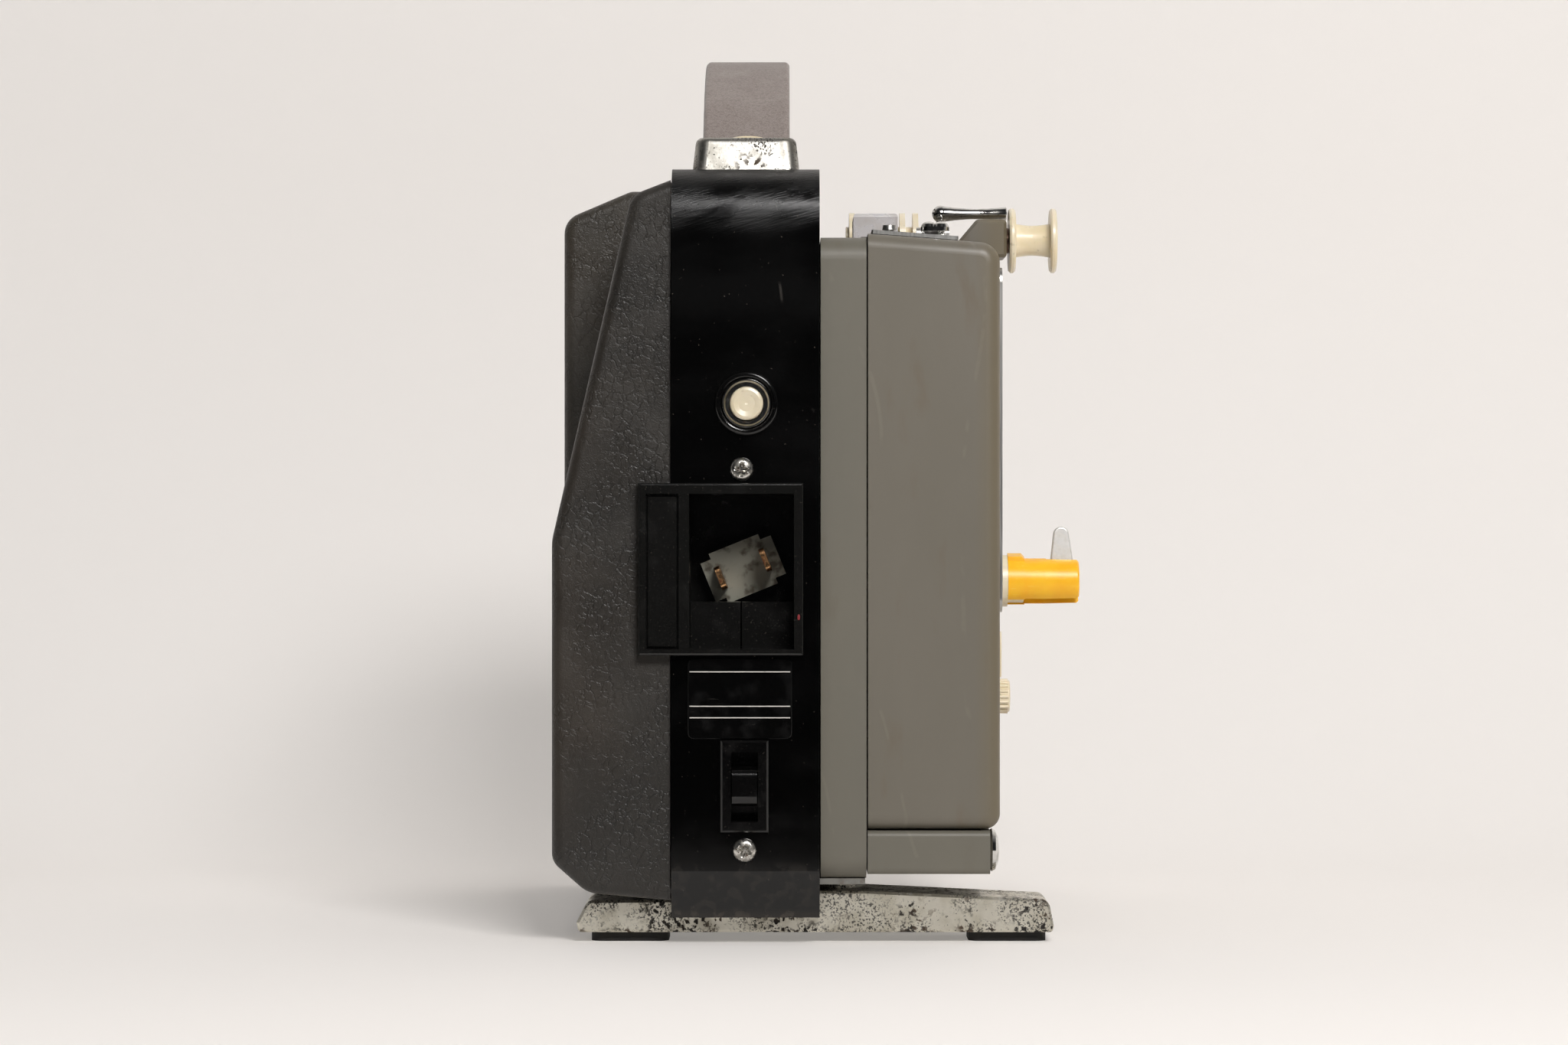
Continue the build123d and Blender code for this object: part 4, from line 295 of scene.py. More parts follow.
def pitted_chrome(name, clean, dulled, rust_low, rust_high):
    """Chrome on a zinc casting, dulled to satin, with black peppering and brown scabs of rust."""
    material, tree, shader, mm = new_surface(name)
    region = spots(tree, mm, 11.0, rust_low, rust_high, 5.0)
    scabs = spots(tree, mm, 1.5, 0.53, 0.58, 9.0)
    # peppering of 0.3 mm pits, thicker near the scabs
    pepper = spots(tree, mm, 0.8, 0.64, 0.67, 6.0)
    dense = spots(tree, mm, 0.5, 0.53, 0.57, 6.0)
    cluster = spots(tree, mm, 9.0, rust_low - 0.02, rust_high, 6.0)
    bloom = spots(tree, mm, 6.0, 0.4, 0.66, 6.0)
    near = combine(tree, "MULTIPLY", dense, cluster)
    pits = combine(tree, "MAXIMUM", pepper, near)
    scab_mask = combine(tree, "MULTIPLY", region, scabs)
    rot = combine(tree, "MAXIMUM", scab_mask, between(tree, pits, 0.0, 0.9))
    plate = blend_colours(tree, bloom, clean, dulled)
    rust = blend_colours(tree, spots(tree, mm, 7.0, 0.45, 0.6), "#1D1813", "#4C3C2D")
    rotten = blend_colours(tree, pits, rust, "#15110E")
    join(tree, blend_colours(tree, rot, plate, rotten), shader, "Base Color")
    join(tree, between(tree, rot, 1.0, 0.1), shader, "Metallic")
    shine = between(tree, bloom, 0.34, 0.46)
    rough = combine(tree, "ADD", shine, between(tree, rot, 0.0, 0.4))
    join(tree, rough, shader, "Roughness")
    grain = noise(tree, mm, 1.6, 5.0)
    dents(tree, shader, (rot, 0.1, -0.7), (grain, 0.05, 0.5))
    return material


def bright_chrome():
    """Polished chrome on steel: mirror-like, with hairlines and a few dull specks."""
    material, tree, shader, mm = new_surface("polished_chrome_plate", Metallic=1.0)
    haze = spots(tree, mm, 3.0, 0.45, 0.7, 4.0)
    specks = spots(tree, mm, 0.5, 0.66, 0.72, 2.0)
    polished = blend_colours(tree, haze, "#DAD9D6", "#B9B8B3")
    join(tree, blend_colours(tree, specks, polished, "#6E675E"), shader, "Base Color")
    join(tree, between(tree, haze, 0.1, 0.24), shader, "Roughness")
    dents(tree, shader, (specks, 0.02, -0.5))
    return material


def moulded_ivory(name, clean, aged):
    """Moulded ivory polystyrene, yellowed with age: a soft gloss and a little light let in."""
    material, tree, shader, mm = new_surface(
        name, IOR=1.59, Subsurface_Weight=0.12, Subsurface_Radius=(0.004, 0.0025, 0.0012), Coat_Weight=0.15)
    age = spots(tree, mm, 8.0, 0.35, 0.7, 4.0)
    grime = spots(tree, mm, 1.6, 0.62, 0.74, 4.0)
    base = blend_colours(tree, age, clean, aged)
    join(tree, blend_colours(tree, between(tree, grime, 0.0, 0.4), base, "#8C7A58"), shader, "Base Color")
    join(tree, between(tree, age, 0.3, 0.42), shader, "Roughness")
    flow = noise(tree, mm, 1.2, 3.0)
    dents(tree, shader, (flow, 0.02, 0.3))
    return material


def moulded_yellow():
    """Moulded yellow polypropylene: a waxy gloss, rubbed paler on its edges, with reel scuffs."""
    material, tree, shader, mm = new_surface(
        "moulded_yellow_polypropylene", IOR=1.49, Subsurface_Weight=0.15,
        Subsurface_Radius=(0.005, 0.003, 0.0006))
    warm = spots(tree, mm, 6.0, 0.4, 0.68, 3.0)
    scuffs = spots(tree, mm, 0.5, 0.62, 0.7, 3.0, (0.15, 1, 1))
    base = blend_colours(tree, warm, "#FDC023", "#F9B61A")
    join(tree, blend_colours(tree, between(tree, scuffs, 0.0, 0.4), base, "#FFD25A"), shader, "Base Color")
    join(tree, between(tree, scuffs, 0.32, 0.48), shader, "Roughness")
    dents(tree, shader, (scuffs, 0.01, -0.4))
    return material


def grained_vinyl():
    """Soft vinyl with a fine leather print, greyed and rubbed: dull, with darker pores."""
    material, tree, shader, mm = new_surface(
        "grained_vinyl_skin", IOR=1.52, Sheen_Weight=0.15, Sheen_Roughness=0.5)
    pore = ramp(tree, cell_edges(tree, wandering(tree, mm, 0.8, 2.0, 1.2), 1.8), 0.0, 0.25)
    rub = spots(tree, mm, 9.0, 0.4, 0.7, 5.0)
    grime = spots(tree, mm, 0.8, 0.5, 0.62, 5.0)
    skin = blend_colours(tree, pore, "#7D726C", "#908681")
    rubbed = blend_colours(tree, between(tree, rub, 0.0, 0.2), skin, "#9B918B")
    join(tree, blend_colours(tree, between(tree, grime, 0.0, 0.4), rubbed, "#675D58"), shader, "Base Color")
    join(tree, between(tree, rub, 0.62, 0.5), shader, "Roughness")
    dents(tree, shader, (pore, 0.06, 0.7), (grime, 0.02, -0.3))
    return material


def hard_rubber():
    """Moulded black rubber: matt, chalky grey where it has dried."""
    material, tree, shader, mm = new_surface("moulded_black_rubber", IOR=1.52)
    dry = spots(tree, mm, 4.0, 0.45, 0.7, 5.0)
    fine = noise(tree, mm, 2.5, 4.0)
    join(tree, blend_colours(tree, dry, "#161514", "#2B2926"), shader, "Base Color")
    join(tree, between(tree, dry, 0.7, 0.88), shader, "Roughness")
    dents(tree, shader, (fine, 0.05, 0.5))
    return material


def fired_steatite():
    """Unglazed fired steatite: matt grey-green ceramic with brown soot in its pores."""
    material, tree, shader, mm = new_surface("fired_steatite", IOR=1.6)
    soot = spots(tree, mm, 3.0, 0.48, 0.68, 6.0)
    pores = noise(tree, mm, 4.0, 3.0)
    join(tree, blend_colours(tree, soot, "#7E7D70", "#4C463A"), shader, "Base Color")
    join(tree, between(tree, soot, 0.6, 0.8), shader, "Roughness")
    dents(tree, shader, (pores, 0.04, 0.5))
    return material


def tarnished_brass():
    """Stamped brass, tarnished brown, bright where the socket has rubbed it."""
    material, tree, shader, mm = new_surface("tarnished_stamped_brass", Metallic=1.0)
    tarnish = spots(tree, mm, 1.6, 0.44, 0.62, 6.0)
    lines = spots(tree, mm, 0.3, 0.5, 0.7, 2.0, (1, 0.1, 1))
    join(tree, blend_colours(tree, tarnish, "#D9A878", "#6A4631"), shader, "Base Color")
    join(tree, between(tree, tarnish, 0.24, 0.55), shader, "Roughness")
    dents(tree, shader, (lines, 0.01, 0.4))
    return material


def rolled_steel(name, light, dark, rust_share):
    """Cold-rolled steel: fine rolling lines, dull oxide and some rust."""
    material, tree, shader, mm = new_surface(name)
    lines = spots(tree, mm, 0.3, 0.35, 0.7, 2.0, (0.05, 1, 1))
    oxide = spots(tree, mm, 6.0, 0.4, 0.7, 4.0)
    rust = spots(tree, mm, 2.2, 0.52, 0.66, 6.0)
    rust_mask = between(tree, rust, 0.0, rust_share)
    base = blend_colours(tree, oxide, light, dark)
    join(tree, blend_colours(tree, rust_mask, base, "#5B3A25"), shader, "Base Color")
    join(tree, between(tree, rust_mask, 1.0, 0.1), shader, "Metallic")
    join(tree, between(tree, oxide, 0.32, 0.5), shader, "Roughness")
    dents(tree, shader, (lines, 0.008, 0.5), (rust_mask, 0.04, 0.4))
    return material


def brushed_aluminium():
    """Brushed and clear-anodised aluminium: fine upright lines and a silky gloss."""
    material, tree, shader, mm = new_surface("brushed_anodised_aluminium", Metallic=1.0)
    lines = spots(tree, mm, 0.25, 0.3, 0.7, 2.0, (1, 1, 0.02))
    cloud = spots(tree, mm, 30.0, 0.3, 0.8, 3.0, (1, 1, 0.4))
    join(tree, blend_colours(tree, cloud, "#C0BFBC", "#B4B3AF"), shader, "Base Color")
    join(tree, between(tree, lines, 0.3, 0.42), shader, "Roughness")
    dents(tree, shader, (lines, 0.006, 0.5))
    return material


def black_anodised():
    """Turned aluminium, anodised black: fine turning lines round the lens and a satin sheen."""
    material, tree, shader, mm = new_surface("black_anodised_aluminium", Metallic=0.35, IOR=1.7)
    lines = spots(tree, mm, 0.3, 0.35, 0.65, 2.0, (0.3, 1, 0.3))
    rub = spots(tree, mm, 2.5, 0.6, 0.74, 5.0)
    join(tree, blend_colours(tree, rub, "#141416", "#3A3A3C"), shader, "Base Color")
    join(tree, between(tree, lines, 0.3, 0.42), shader, "Roughness")
    dents(tree, shader, (lines, 0.01, 0.4))
    return material


def frosted_polystyrene():
    """Pale see-through polystyrene gone milky: a soft gloss with a blue-grey cast."""
    material, tree, shader, mm = new_surface(
        "milky_polystyrene", IOR=1.59, Transmission_Weight=0.25, Subsurface_Weight=0.2,
        Subsurface_Radius=(0.003, 0.003, 0.0035))
    milk = spots(tree, mm, 5.0, 0.4, 0.7, 4.0)
    join(tree, blend_colours(tree, milk, "#DEDBDC", "#CFC9C6"), shader, "Base Color")
    join(tree, between(tree, milk, 0.25, 0.4), shader, "Roughness")
    dents(tree, shader, (milk, 0.02, 0.3))
    return material


def polished_glass():
    """Polished optical glass with a faint coating and a little dust."""
    material, tree, shader, mm = new_surface("polished_optical_glass", IOR=1.52, Transmission_Weight=1.0)
    dust = spots(tree, mm, 0.8, 0.68, 0.76, 3.0)
    join(tree, blend_colours(tree, dust, "#E8F0F2", "#B8BCC0"), shader, "Base Color")
    join(tree, between(tree, dust, 0.02, 0.3), shader, "Roughness")
    dents(tree, shader, (dust, 0.004, 0.3))
    return material


def silvered_mirror():
    """Front-silvered glass: a clean mirror with faint spotting."""
    material, tree, shader, mm = new_surface("silvered_mirror_glass", Metallic=1.0)
    tarnish = spots(tree, mm, 1.2, 0.62, 0.74, 4.0)
    join(tree, blend_colours(tree, tarnish, "#E6E8E8", "#9A948A"), shader, "Base Color")
    join(tree, between(tree, tarnish, 0.03, 0.25), shader, "Roughness")
    dents(tree, shader, (tarnish, 0.004, 0.3))
    return material


def varnished_iron():
    """Stacked iron sheets dipped in brown varnish: fine sheet lines, a dark amber gloss."""
    material, tree, shader, mm = new_surface(
        "varnished_iron_sheets", Metallic=0.4, Coat_Weight=0.4, Coat_Roughness=0.2)
    lines = {"Vector": mm, "Scale": 1.0, "Distortion": 0.4}
    sheets = add(tree, "ShaderNodeTexWave", lines, bands_direction="X").outputs["Fac"]
    varnish = spots(tree, mm, 5.0, 0.4, 0.7, 4.0)
    join(tree, blend_colours(tree, varnish, "#4C4A47", "#3A2A1C"), shader, "Base Color")
    join(tree, between(tree, varnish, 0.4, 0.55), shader, "Roughness")
    dents(tree, shader, (sheets, 0.06, 0.5))
    return material


def plated_screw():
    """Nickel-plated steel screw: bright, with dull zinc-grey wear and brown rust in the recess."""
    material, tree, shader, mm = new_surface("nickel_plated_steel")
    wear = spots(tree, mm, 1.2, 0.45, 0.65, 5.0)
    rust = spots(tree, mm, 0.7, 0.58, 0.68, 5.0)
    base = blend_colours(tree, wear, "#D4D2CC", "#9D9A93")
    join(tree, blend_colours(tree, rust, base, "#4A3626"), shader, "Base Color")
    join(tree, between(tree, rust, 1.0, 0.15), shader, "Metallic")
    join(tree, between(tree, wear, 0.22, 0.4), shader, "Roughness")
    dents(tree, shader, (wear, 0.03, 0.4), (rust, 0.03, 0.4))
    return material


def satin_plate():
    """Tumbled nickel plate on stamped steel: pale and silky, with darker edges where it is thin."""
    material, tree, shader, mm = new_surface("tumbled_nickel_plate", Metallic=0.7)
    haze = spots(tree, mm, 2.0, 0.4, 0.7, 4.0)
    lines = spots(tree, mm, 0.25, 0.4, 0.7, 2.0, (1, 1, 0.15))
    join(tree, blend_colours(tree, haze, "#F7F6F3", "#E4E2DC"), shader, "Base Color")
    join(tree, between(tree, haze, 0.42, 0.5), shader, "Roughness")
    dents(tree, shader, (lines, 0.004, 0.4))
    return material


def printed_foil():
    """Black lacquer on thin aluminium: a flat satin with faint rub marks."""
    material, tree, shader, mm = new_surface("black_lacquered_foil", IOR=1.5)
    rub = spots(tree, mm, 5.0, 0.45, 0.7, 4.0)
    fine = spots(tree, mm, 0.4, 0.7, 0.76, 2.0, (0.1, 1, 1))
    base = blend_colours(tree, rub, "#030303", "#060606")
    join(tree, blend_colours(tree, between(tree, fine, 0.0, 0.3), base, "#4A4641"), shader, "Base Color")
    join(tree, between(tree, rub, 0.17, 0.26), shader, "Roughness")
    dents(tree, shader, (fine, -0.005, 0.4))
    return material


def screen_ink(name, colour_text):
    """Screen-printed ink: matt and even, worn thin in places."""
    material, tree, shader, mm = new_surface(name, IOR=1.5)
    worn = spots(tree, mm, 0.8, 0.6, 0.75, 4.0)
    grain = noise(tree, mm, 6.0, 2.0)
    colour = blend_colours(tree, between(tree, worn, 0.0, 0.5), colour_text, "#3A3734")
    join(tree, colour, shader, "Base Color")
    join(tree, between(tree, worn, 0.5, 0.6), shader, "Roughness")
    dents(tree, shader, (grain, 0.01, 0.4))
    return material


# Every CAD node's finish

def dress_nodes():
    """Gives each CAD node its finish and returns the finishes by name."""
    finishes = {
        "cover": grained_abs("grained_abs_moulding", "#292622", "#1C1A17", "#3A3630"),
        # the lamp cover's grained ABS is a lighter copy of the cover's: painted light that makes up for the
        # shade falling on its face
        "lamp_cover": grained_abs("grained_abs_lamp_cover_painted_lighter", "#3E3B35", "#322F2A", "#4E4A43"),
        "band": glossy_black_abs(),
        "black": black_abs("satin_black_abs", "#121211", 0.17, 0.3),
        "deep_black": black_abs("satin_deep_black_abs", "#060606", 0.14, 0.26),
        "chassis": grey_paint("stoved_grey_paint", "#6D695E", "#67645A", "#5B5242", 0.25),
        "shell": grey_paint("stoved_warm_grey_paint", "#6E695F", "#686358", "#61523B", 0.35,
                            band_middle * 1000 + 60.0),
        "leg_chrome": pitted_chrome("pitted_chrome_plate", "#DEDACD", "#C2BDAE", 0.45, 0.57),
        # the handle ends' chrome has fewer scabs than the legs' and a darker plate colour; the darker colour
        # is painted shade that tones down the lamps' glare on them
        "end_chrome": pitted_chrome("lightly_pitted_chrome_painted_darker", "#A8A6A0", "#95928A", 0.5, 0.66),
        "chrome": bright_chrome(),
        "ivory": moulded_ivory("moulded_ivory_polystyrene", "#E8DCC2", "#DECFAC"),
        "button": moulded_ivory("moulded_cream_urea", "#DBD1B9", "#D2C6A9"),
        "yellow": moulded_yellow(),
        "strap": grained_vinyl(),
        "rubber": hard_rubber(),
        "steatite": fired_steatite(),
        "brass": tarnished_brass(),
        "steel": rolled_steel("cold_rolled_steel_sheet", "#A2A19C", "#7E7C76", 0.35),
        "rusty": rolled_steel("rusted_turned_steel", "#8A7466", "#5F4A3D", 1.0),
        "aluminium": brushed_aluminium(),
        "lens_black": black_anodised(),
        "milky": frosted_polystyrene(),
        "glass": polished_glass(),
        "mirror": silvered_mirror(),
        "iron": varnished_iron(),
        "screw": plated_screw(),
        "latch": satin_plate(),
        "foil": printed_foil(),
        "white_ink": screen_ink("white_screen_ink", "#D9D6CF"),
        "red_paint": screen_ink("red_marking_paint", "#7E1B22"),
    }
    wears = {
        "cover": ("motor_side_cover",),
        "lamp_cover": ("lamp_cover",),
        "band": ("spine_band",),
        "black": ("inlet_housing", "terminal_cover", "switch_bodies", "focus_knob"),
        "deep_black": ("button_bezel", "switch_bezel", "light_switch"),
        "chassis": ("main_chassis", "control_box"),
        "shell": ("mechanism_cover", "roller_bracket", "gate_door"),
        "leg_chrome": ("rear_leg", "front_foot"),
        "end_chrome": ("handle_ends",),
        "chrome": ("button_ring", "film_lever", "trimmer_lever", "function_knob"),
        "latch": ("take_up_latch", "supply_latch"),
        "ivory": ("guide_roller", "film_guides", "take_up_core", "supply_core", "inching_knob",
                  "film_sprocket"),
        "button": ("rear_button",),
        "yellow": ("take_up_adapter", "supply_adapter"),
        "strap": ("handle_strap",),
        "rubber": ("rubber_feet", "drive_belts"),
        "steatite": ("inlet_block",),
        "brass": ("inlet_blades",),
        "steel": ("bottom_plate", "lamp_shelf", "main_shaft", "shutter", "aperture_plate",
                  "pressure_plate", "motor_rotor"),
        "rusty": ("roller_axle",),
        "aluminium": ("fascia_plate", "supply_arm", "trimmer_base"),
        "lens_black": ("lens_holder", "lens_barrel", "zoom_ring"),
        "milky": ("film_inlet_block",),
        "glass": ("lens_glass", "lamp"),
        "mirror": ("turning_mirror",),
        "iron": ("motor_stator", "transformer"),
    }
    for finish, names in wears.items():
        for name in names:
            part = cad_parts[name]
            part.data.materials.clear()
            part.data.materials.append(finishes[finish])
    return finishes


# Room, lights and camera

def pale_sweep():
    """The seamless pale floor that rises into a backdrop close behind."""
    mesh = bpy.data.meshes.new("pale_sweep")
    shape = bmesh.new()
    profile = [(-floor_reach, 0.0), (bend_start, 0.0)]
    for index in range(1, bend_steps + 1):
        turn = math.radians(90 * index / bend_steps)
        y = bend_start + bend_radius * math.sin(turn)
        profile.append((y, bend_radius - bend_radius * math.cos(turn)))
    profile.append((bend_start + bend_radius, floor_reach))
    rows = []
    for y, z in profile:
        rows.append([shape.verts.new((x, y, z)) for x in (-floor_reach, floor_reach)])
    for first, second in zip(rows, rows[1:]):
        shape.faces.new((first[0], first[1], second[1], second[0]))
    for face in shape.faces:
        face.smooth = True
    shape.to_mesh(mesh)
    shape.free()
    sweep = bpy.data.objects.new("pale_sweep", mesh)
    scene.collection.objects.link(sweep)
    sweep.data.materials.append(paper_backdrop())


def paper_backdrop():
    """Matt paper: part of its brightness is its own to the eye and in gloss, the rest keeps the shadow."""
    material = bpy.data.materials.new("matt_paper_backdrop")
    material.use_nodes = True
    tree = material.node_tree
    tree.nodes.clear()
    out = add(tree, "ShaderNodeOutputMaterial")
    paper = add(tree, "ShaderNodeBsdfDiffuse", {"Color": linear("#F8F4F0")})
    glow = add(tree, "ShaderNodeEmission", {"Color": linear("#F2EEEA"), "Strength": 1.0})
    path = add(tree, "ShaderNodeLightPath").outputs
    seen = combine(tree, "MAXIMUM", path["Is Camera Ray"], path["Is Glossy Ray"])
    seen = combine(tree, "MAXIMUM", seen, path["Is Transmission Ray"])
    share = combine(tree, "MULTIPLY", seen, paper_glow)
    mixed = add(tree, "ShaderNodeMixShader", {0: share, 1: paper.outputs[0], 2: glow.outputs[0]})
    # in gloss the paper in front of the part is painted dark: painted shade that stands for a dark room past
    # the paper that lies close to the part
    place = add(tree, "ShaderNodeSeparateXYZ", {0: add(tree, "ShaderNodeTexCoord").outputs["Object"]})
    past = combine(tree, "SUBTRACT", 1.0, level(tree, place.outputs["Y"], gloss_dark_from, gloss_dark_to))
    dark = combine(tree, "MULTIPLY", past, path["Is Glossy Ray"])
    black = add(tree, "ShaderNodeBsdfDiffuse", {"Color": linear("#101010")})
    lying = add(tree, "ShaderNodeMixShader", {0: dark, 1: mixed.outputs[0], 2: black.outputs[0]})
    # from behind the sweep it is clear, so that every side of the part can be looked at
    clear = add(tree, "ShaderNodeBsdfTransparent")
    side = add(tree, "ShaderNodeNewGeometry").outputs["Backfacing"]
    one_sided = add(tree, "ShaderNodeMixShader", {0: side, 1: lying.outputs[0], 2: clear.outputs[0]})
    tree.links.new(one_sided.outputs[0], out.inputs[0])
    return material


def soft_lamp(name, place, target, size, power, colour="#FFFFFF"):
    """A square soft lamp that faces its target."""
    light = bpy.data.lights.new(name, "AREA")
    light.shape = "RECTANGLE"
    light.size, light.size_y = size
    light.energy = power
    light.color = linear(colour)[:3]
    lamp = bpy.data.objects.new(name, light)
    lamp.location = place
    lamp.rotation_euler = (Vector(target) - Vector(place)).to_track_quat("-Z", "Y").to_euler()
    scene.collection.objects.link(lamp)
    return lamp


def studio():
    """Soft lamps as in the photograph: the main one above the camera and a little to the right."""
    world = bpy.data.worlds.new("dim_room")
    scene.world = world
    world.use_nodes = True
    tree = world.node_tree
    tree.nodes.clear()
    out = add(tree, "ShaderNodeOutputWorld")
    way = add(tree, "ShaderNodeTexCoord").outputs["Generated"]
    ahead = ramp(tree, add(tree, "ShaderNodeSeparateXYZ", {0: way}).outputs["Y"], -0.3, 0.5)
    # linear colours: what gloss sees, what lights the part, and what the camera sees past the paper
    room = blend_colours(tree, ahead, (0.02, 0.02, 0.021, 1), (0.62, 0.60, 0.58, 1))
    lit = blend_colours(tree, ahead, (0.08, 0.08, 0.08, 1), (0.2, 0.195, 0.19, 1))
    path = add(tree, "ShaderNodeLightPath").outputs
    seen = blend_colours(tree, path["Is Glossy Ray"], lit, room)
    seen = blend_colours(tree, path["Is Camera Ray"], seen, (0.78, 0.75, 0.73, 1))
    glow = add(tree, "ShaderNodeBackground", {"Color": seen, "Strength": 1.0})
    tree.links.new(glow.outputs[0], out.inputs[0])
    soft_lamp("key_softbox", (0.37, -1.31, 0.98), (0.0, 0.0, 0.1), (0.62, 0.42), 19.5, "#FFFDFC")
    top = soft_lamp("top_softbox", (0.2, 0.0, 1.5), (0.0, 0.0, 0.1), (1.0, 1.0), 4.0)
    top.visible_glossy = False


def camera():
    """The photograph's view: level, behind the rear face, 100 mm lens."""
    data = bpy.data.cameras.new("photo_camera")
    data.sensor_width = 36.0
    data.lens = 100.2
    data.clip_start = 0.05
    view = bpy.data.objects.new("photo_camera", data)
    view.location = (-0.0137, -1.2438, 0.1107)
    view.rotation_euler = (math.radians(90), 0, 0)
    scene.collection.objects.link(view)
    scene.camera = view


# Added pieces

def piece_from(name, shape, finish, body="root"):
    """Makes a piece of a bmesh, smooth where it turns gently, and lets it ride on a body if given."""
    bmesh.ops.remove_doubles(shape, verts=shape.verts, dist=1e-6)
    bmesh.ops.recalc_face_normals(shape, faces=shape.faces)
    mesh = bpy.data.meshes.new(name)
    shape.to_mesh(mesh)
    shape.free()
    for polygon in mesh.polygons:
        polygon.use_smooth = True
    mesh.set_sharp_from_angle(angle=math.radians(35))
    piece = bpy.data.objects.new(name, mesh)
    scene.collection.objects.link(piece)
    for material in finish if isinstance(finish, list) else [finish]:
        mesh.materials.append(material)
    if body:
        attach(piece, body)
    return piece


def pan_head_screw():
    """A pan-head screw about the origin, head towards +Z, with a worn cross recess."""
    shape = bmesh.new()
    count = 28
    grid = []
    for row in range(count + 1):
        line = []
        for column in range(count + 1):
            u = 2 * column / count - 1
            v = 2 * row / count - 1
            x = u * math.sqrt(1 - v * v / 2)
            y = v * math.sqrt(1 - u * u / 2)
            reach = math.hypot(x, y)
            height = 0.3 + (screw_high - 0.3) * (1 - reach ** 3) ** 0.6 if reach < 1 else 0.3
            along = max(abs(x), abs(y))
            across = min(abs(x), abs(y))
            depth = max(0.0, min(1.0, (0.17 - across) / 0.06)) * max(0.0, min(1.0, (0.62 - along) / 0.25))
            height -= 0.95 * depth
            line.append(shape.verts.new((x * screw_radius / 1000, y * screw_radius / 1000, height / 1000)))
        grid.append(line)
    for first, second in zip(grid, grid[1:]):
        for index in range(count):
            shape.faces.new((first[index], first[index + 1], second[index + 1], second[index]))
    # from the crown's edge down to the seat, in to the shank and along it, ring by ring
    rim = grid[0][:-1] + [line[-1] for line in grid[:-1]]
    rim += grid[-1][:0:-1] + [line[0] for line in grid[:0:-1]]
    for radius, z in ((screw_radius, 0.0), (shank_radius, 0.0), (shank_radius, -shank_length)):
        ring = []
        for vert in rim:
            share = radius / 1000 / math.hypot(vert.co.x, vert.co.y)
            ring.append(shape.verts.new((vert.co.x * share, vert.co.y * share, z / 1000)))
        for index, vert in enumerate(rim):
            after = (index + 1) % len(rim)
            shape.faces.new((vert, rim[after], ring[after], ring[index]))
        rim = ring
    shape.faces.new(rim)
    return shape


def handle_pin():
    """A steel pin about the origin along X, with domed ends."""
    shape = bmesh.new()
    half = pin_length / 2
    rings = []
    profile = [
        (-half, 0.25), (-half + 0.15, 0.85), (-half + 0.6, 1.0),
        (half - 0.6, 1.0), (half - 0.15, 0.85), (half, 0.25),
    ]
    for x, share in profile:
        ring = []
        for index in range(24):
            turn = 2 * math.pi * index / 24
            radius = pin_radius * share / 1000
            ring.append(shape.verts.new((x / 1000, radius * math.cos(turn), radius * math.sin(turn))))
        rings.append(ring)
    for first, second in zip(rings, rings[1:]):
        for index in range(24):
            after = (index + 1) % 24
            shape.faces.new((first[index], second[index], second[after], first[after]))
    shape.faces.new(rings[0])
    shape.faces.new(rings[-1])
    return shape


def setting_out_tree():
    """A Geometry Nodes tree that sets a fastener on every point, turned as the point's own turn says."""
    tree = bpy.data.node_groups.new("set_out_fasteners", "GeometryNodeTree")
    face = tree.interface
    face.new_socket(name="Places", in_out="INPUT", socket_type="NodeSocketGeometry")
    face.new_socket(name="Fastener", in_out="INPUT", socket_type="NodeSocketObject")
    face.new_socket(name="Size", in_out="INPUT", socket_type="NodeSocketFloat")
    face.new_socket(name="Finish", in_out="INPUT", socket_type="NodeSocketMaterial")
    face.new_socket(name="Fasteners", in_out="OUTPUT", socket_type="NodeSocketGeometry")
    enter = add(tree, "NodeGroupInput")
    drawn = add(tree, "GeometryNodeObjectInfo", {"Object": enter.outputs["Fastener"]})
    turn = add(tree, "GeometryNodeInputNamedAttribute", {"Name": "turn"}, data_type="FLOAT_VECTOR")
    points = add(tree, "GeometryNodeMeshToPoints", {"Mesh": enter.outputs["Places"]})
    spread = add(tree, "GeometryNodeInstanceOnPoints", {
        "Points": points.outputs[0], "Instance": drawn.outputs["Geometry"],
        "Rotation": turn.outputs["Attribute"], "Scale": enter.outputs["Size"]})
    real = add(tree, "GeometryNodeRealizeInstances", {"Geometry": spread.outputs[0]})
    dressed = add(tree, "GeometryNodeSetMaterial", {
        "Geometry": real.outputs[0], "Material": enter.outputs["Finish"]})
    leave = add(tree, "NodeGroupOutput")
    tree.links.new(dressed.outputs[0], leave.inputs[0])
    return tree


def set_out(name, tree, drawn, places, finish):
    """Runs the tree over places, pairs of a place and a turn, and returns the plain mesh it makes."""
    points = bpy.data.meshes.new(name + "_places")
    points.from_pydata([tuple(place) for place, turn in places], [], [])
    turns = points.attributes.new("turn", "FLOAT_VECTOR", "POINT")
    for index, (place, turn) in enumerate(places):
        turns.data[index].vector = turn
    pattern = piece_from(name + "_pattern", drawn, finish, body=None)
    carrier = bpy.data.objects.new(name, points)
    scene.collection.objects.link(carrier)
    step = carrier.modifiers.new("set_out", "NODES")
    step.node_group = tree
    inputs = {item.name: item.identifier for item in tree.interface.items_tree if item.in_out == "INPUT"}
    step[inputs["Fastener"]] = pattern
    step[inputs["Size"]] = 1.0
    step[inputs["Finish"]] = finish
    bpy.context.view_layer.update()
    solid = bpy.data.meshes.new_from_object(carrier.evaluated_get(bpy.context.evaluated_depsgraph_get()))
    carrier.modifiers.clear()
    bpy.data.objects.remove(carrier)
    bpy.data.objects.remove(pattern)
    return solid


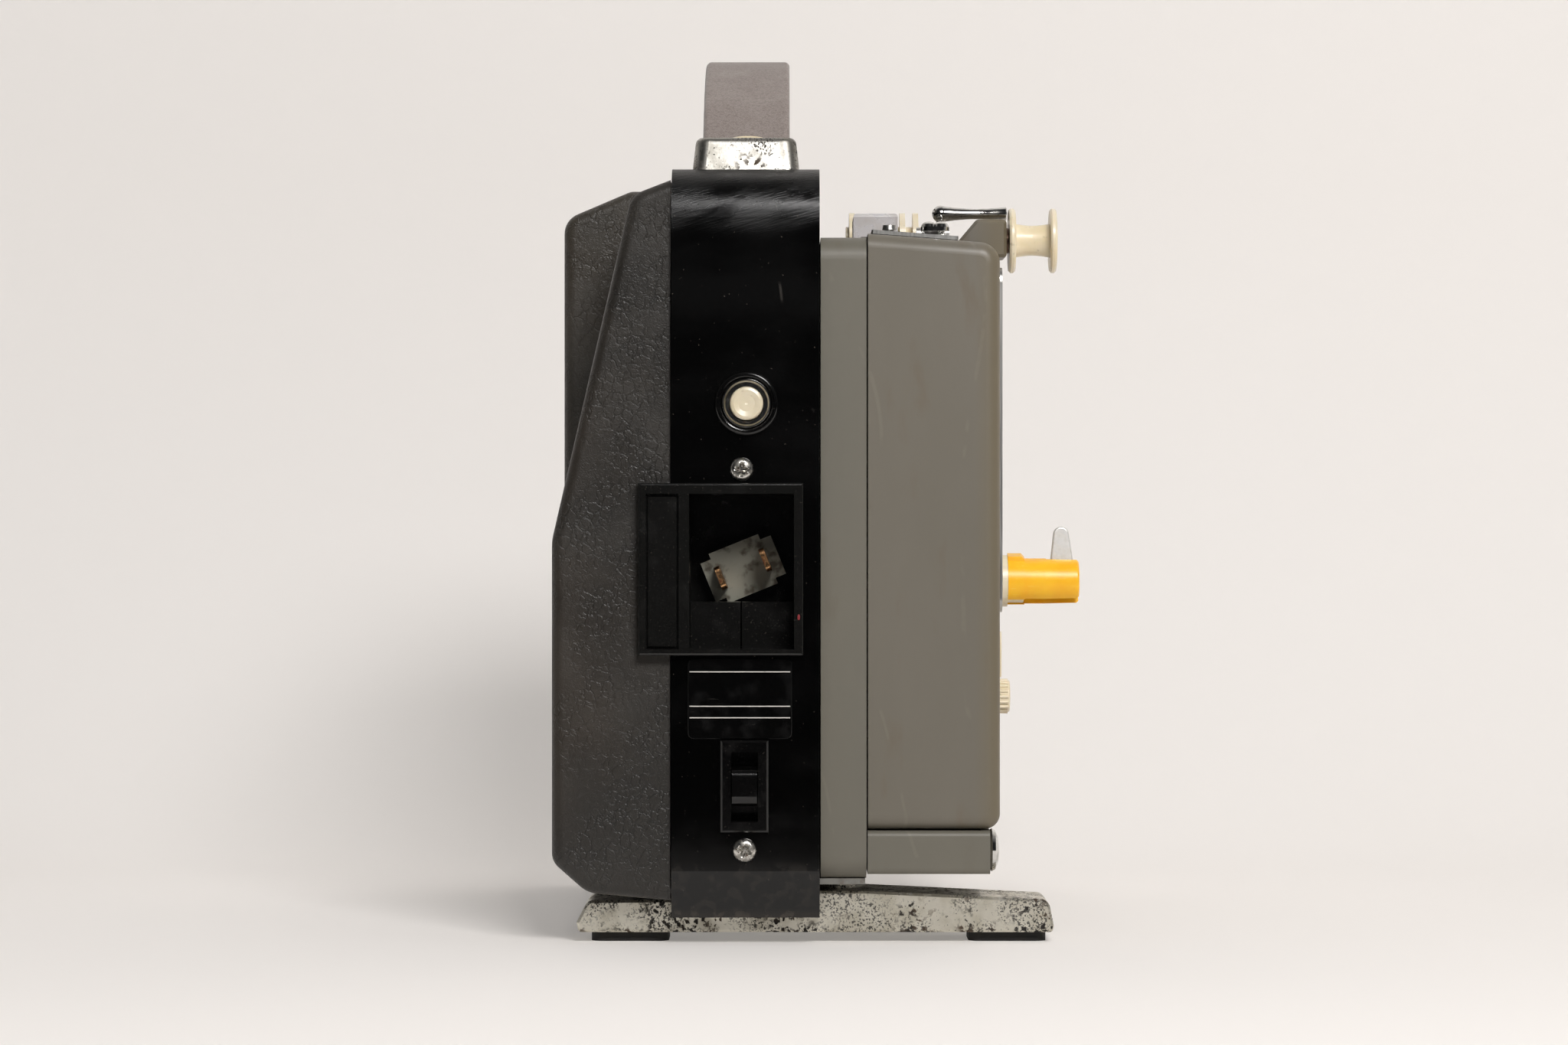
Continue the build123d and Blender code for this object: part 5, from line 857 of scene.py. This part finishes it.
def fasteners(finishes):
    """The cross-recess screws and the handle's pins."""
    tree = setting_out_tree()
    facing_rear = math.radians(90)
    screws = []
    for (x, z), spin in zip(rear_screws, (8, 27)):
        screws.append((at(x, 0, z), (facing_rear, math.radians(spin), 0)))
    for index, (x, y, z) in enumerate(leg_screws):
        screws.append((at(x, y, z), (math.pi, 0, 0.7 * index)))
    heads = set_out("pan_head_screws", tree, pan_head_screw(), screws, finishes["screw"])
    pins = [(at(0, y, z), (0, 0, 0)) for y, z in pin_places]
    rods = set_out("strap_pins", tree, handle_pin(), pins, finishes["screw"])
    both = bmesh.new()
    both.from_mesh(heads)
    both.from_mesh(rods)
    piece = piece_from("screws_and_pins", both, finishes["screw"])
    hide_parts("fasteners")


def rounded_plate(shape, left, right, low, high, corner, rear, front, edge, index=0):
    """Adds a plate with rounded corners to a bmesh: between two heights, facing the rear."""
    rings = []
    for y, inset in ((front, 0.0), (rear + edge, 0.0), (rear, edge)):
        ring = []
        for cx, cz, start in ((right - corner, high - corner, 0), (left + corner, high - corner, 90),
                              (left + corner, low + corner, 180), (right - corner, low + corner, 270)):
            for step in range(7):
                turn = math.radians(start + 15 * step)
                radius = max(corner - inset, 0.02)
                place = at(cx + radius * math.cos(turn), y, cz + radius * math.sin(turn))
                ring.append(shape.verts.new(place))
        rings.append(ring)
    for first, second in zip(rings, rings[1:]):
        for step in range(len(first)):
            after = (step + 1) % len(first)
            shape.faces.new((first[step], first[after], second[after], second[step])).material_index = index
    shape.faces.new(rings[-1]).material_index = index
    shape.faces.new(list(reversed(rings[0]))).material_index = index


def rating_plate(finishes):
    """The bare black plate under the mains inlet, with only its three ruled lines."""
    shape = bmesh.new()
    rounded_plate(shape, *plate_sides, *plate_levels, 1.5, -plate_proud, 0.0, 0.08)
    for z in rule_levels:
        heights = (z - rule_half, z + rule_half)
        rounded_plate(shape, *rule_sides, *heights, 0.1, -plate_proud - 0.04, -plate_proud + 0.01, 0.01, 1)
    piece_from("rating_plate", shape, [finishes["foil"], finishes["white_ink"]])


def stretched_ball(subdivisions, middle, reach, taper=0.0):
    """A ball stretched to its reach each way about a middle, and narrowed above and below by a share."""
    shape = bmesh.new()
    bmesh.ops.create_icosphere(shape, subdivisions=subdivisions, radius=1.0)
    for vert in shape.verts:
        ball = vert.co.copy()
        across = reach[0] * ball.x * (1 - taper * ball.z ** 2)
        vert.co = at(middle[0] + across, middle[1] + reach[1] * ball.y, middle[2] + reach[2] * ball.z)
    return shape


def small_trim(finishes):
    """The ivory strip on the film side, the strap's pale tab and the inlet's red mark."""
    strip = bmesh.new()
    bmesh.ops.create_cube(strip, size=1.0)
    for vert in strip.verts:
        vert.co = at(*[m + size * share for m, size, share in zip(strip_middle, strip_size, vert.co)])
    bmesh.ops.bevel(strip, geom=strip.edges[:], offset=0.0002, segments=2, affect="EDGES", profile=0.5)
    piece_from("film_path_strip", strip, finishes["ivory"])
    piece_from("strap_tab", stretched_ball(4, tab_middle, tab_reach, 0.12), finishes["ivory"])
    piece_from("inlet_mark", stretched_ball(3, mark_middle, mark_reach), finishes["red_paint"])


finishes = dress_nodes()
fasteners(finishes)
rating_plate(finishes)
small_trim(finishes)
pale_sweep()
studio()
camera()
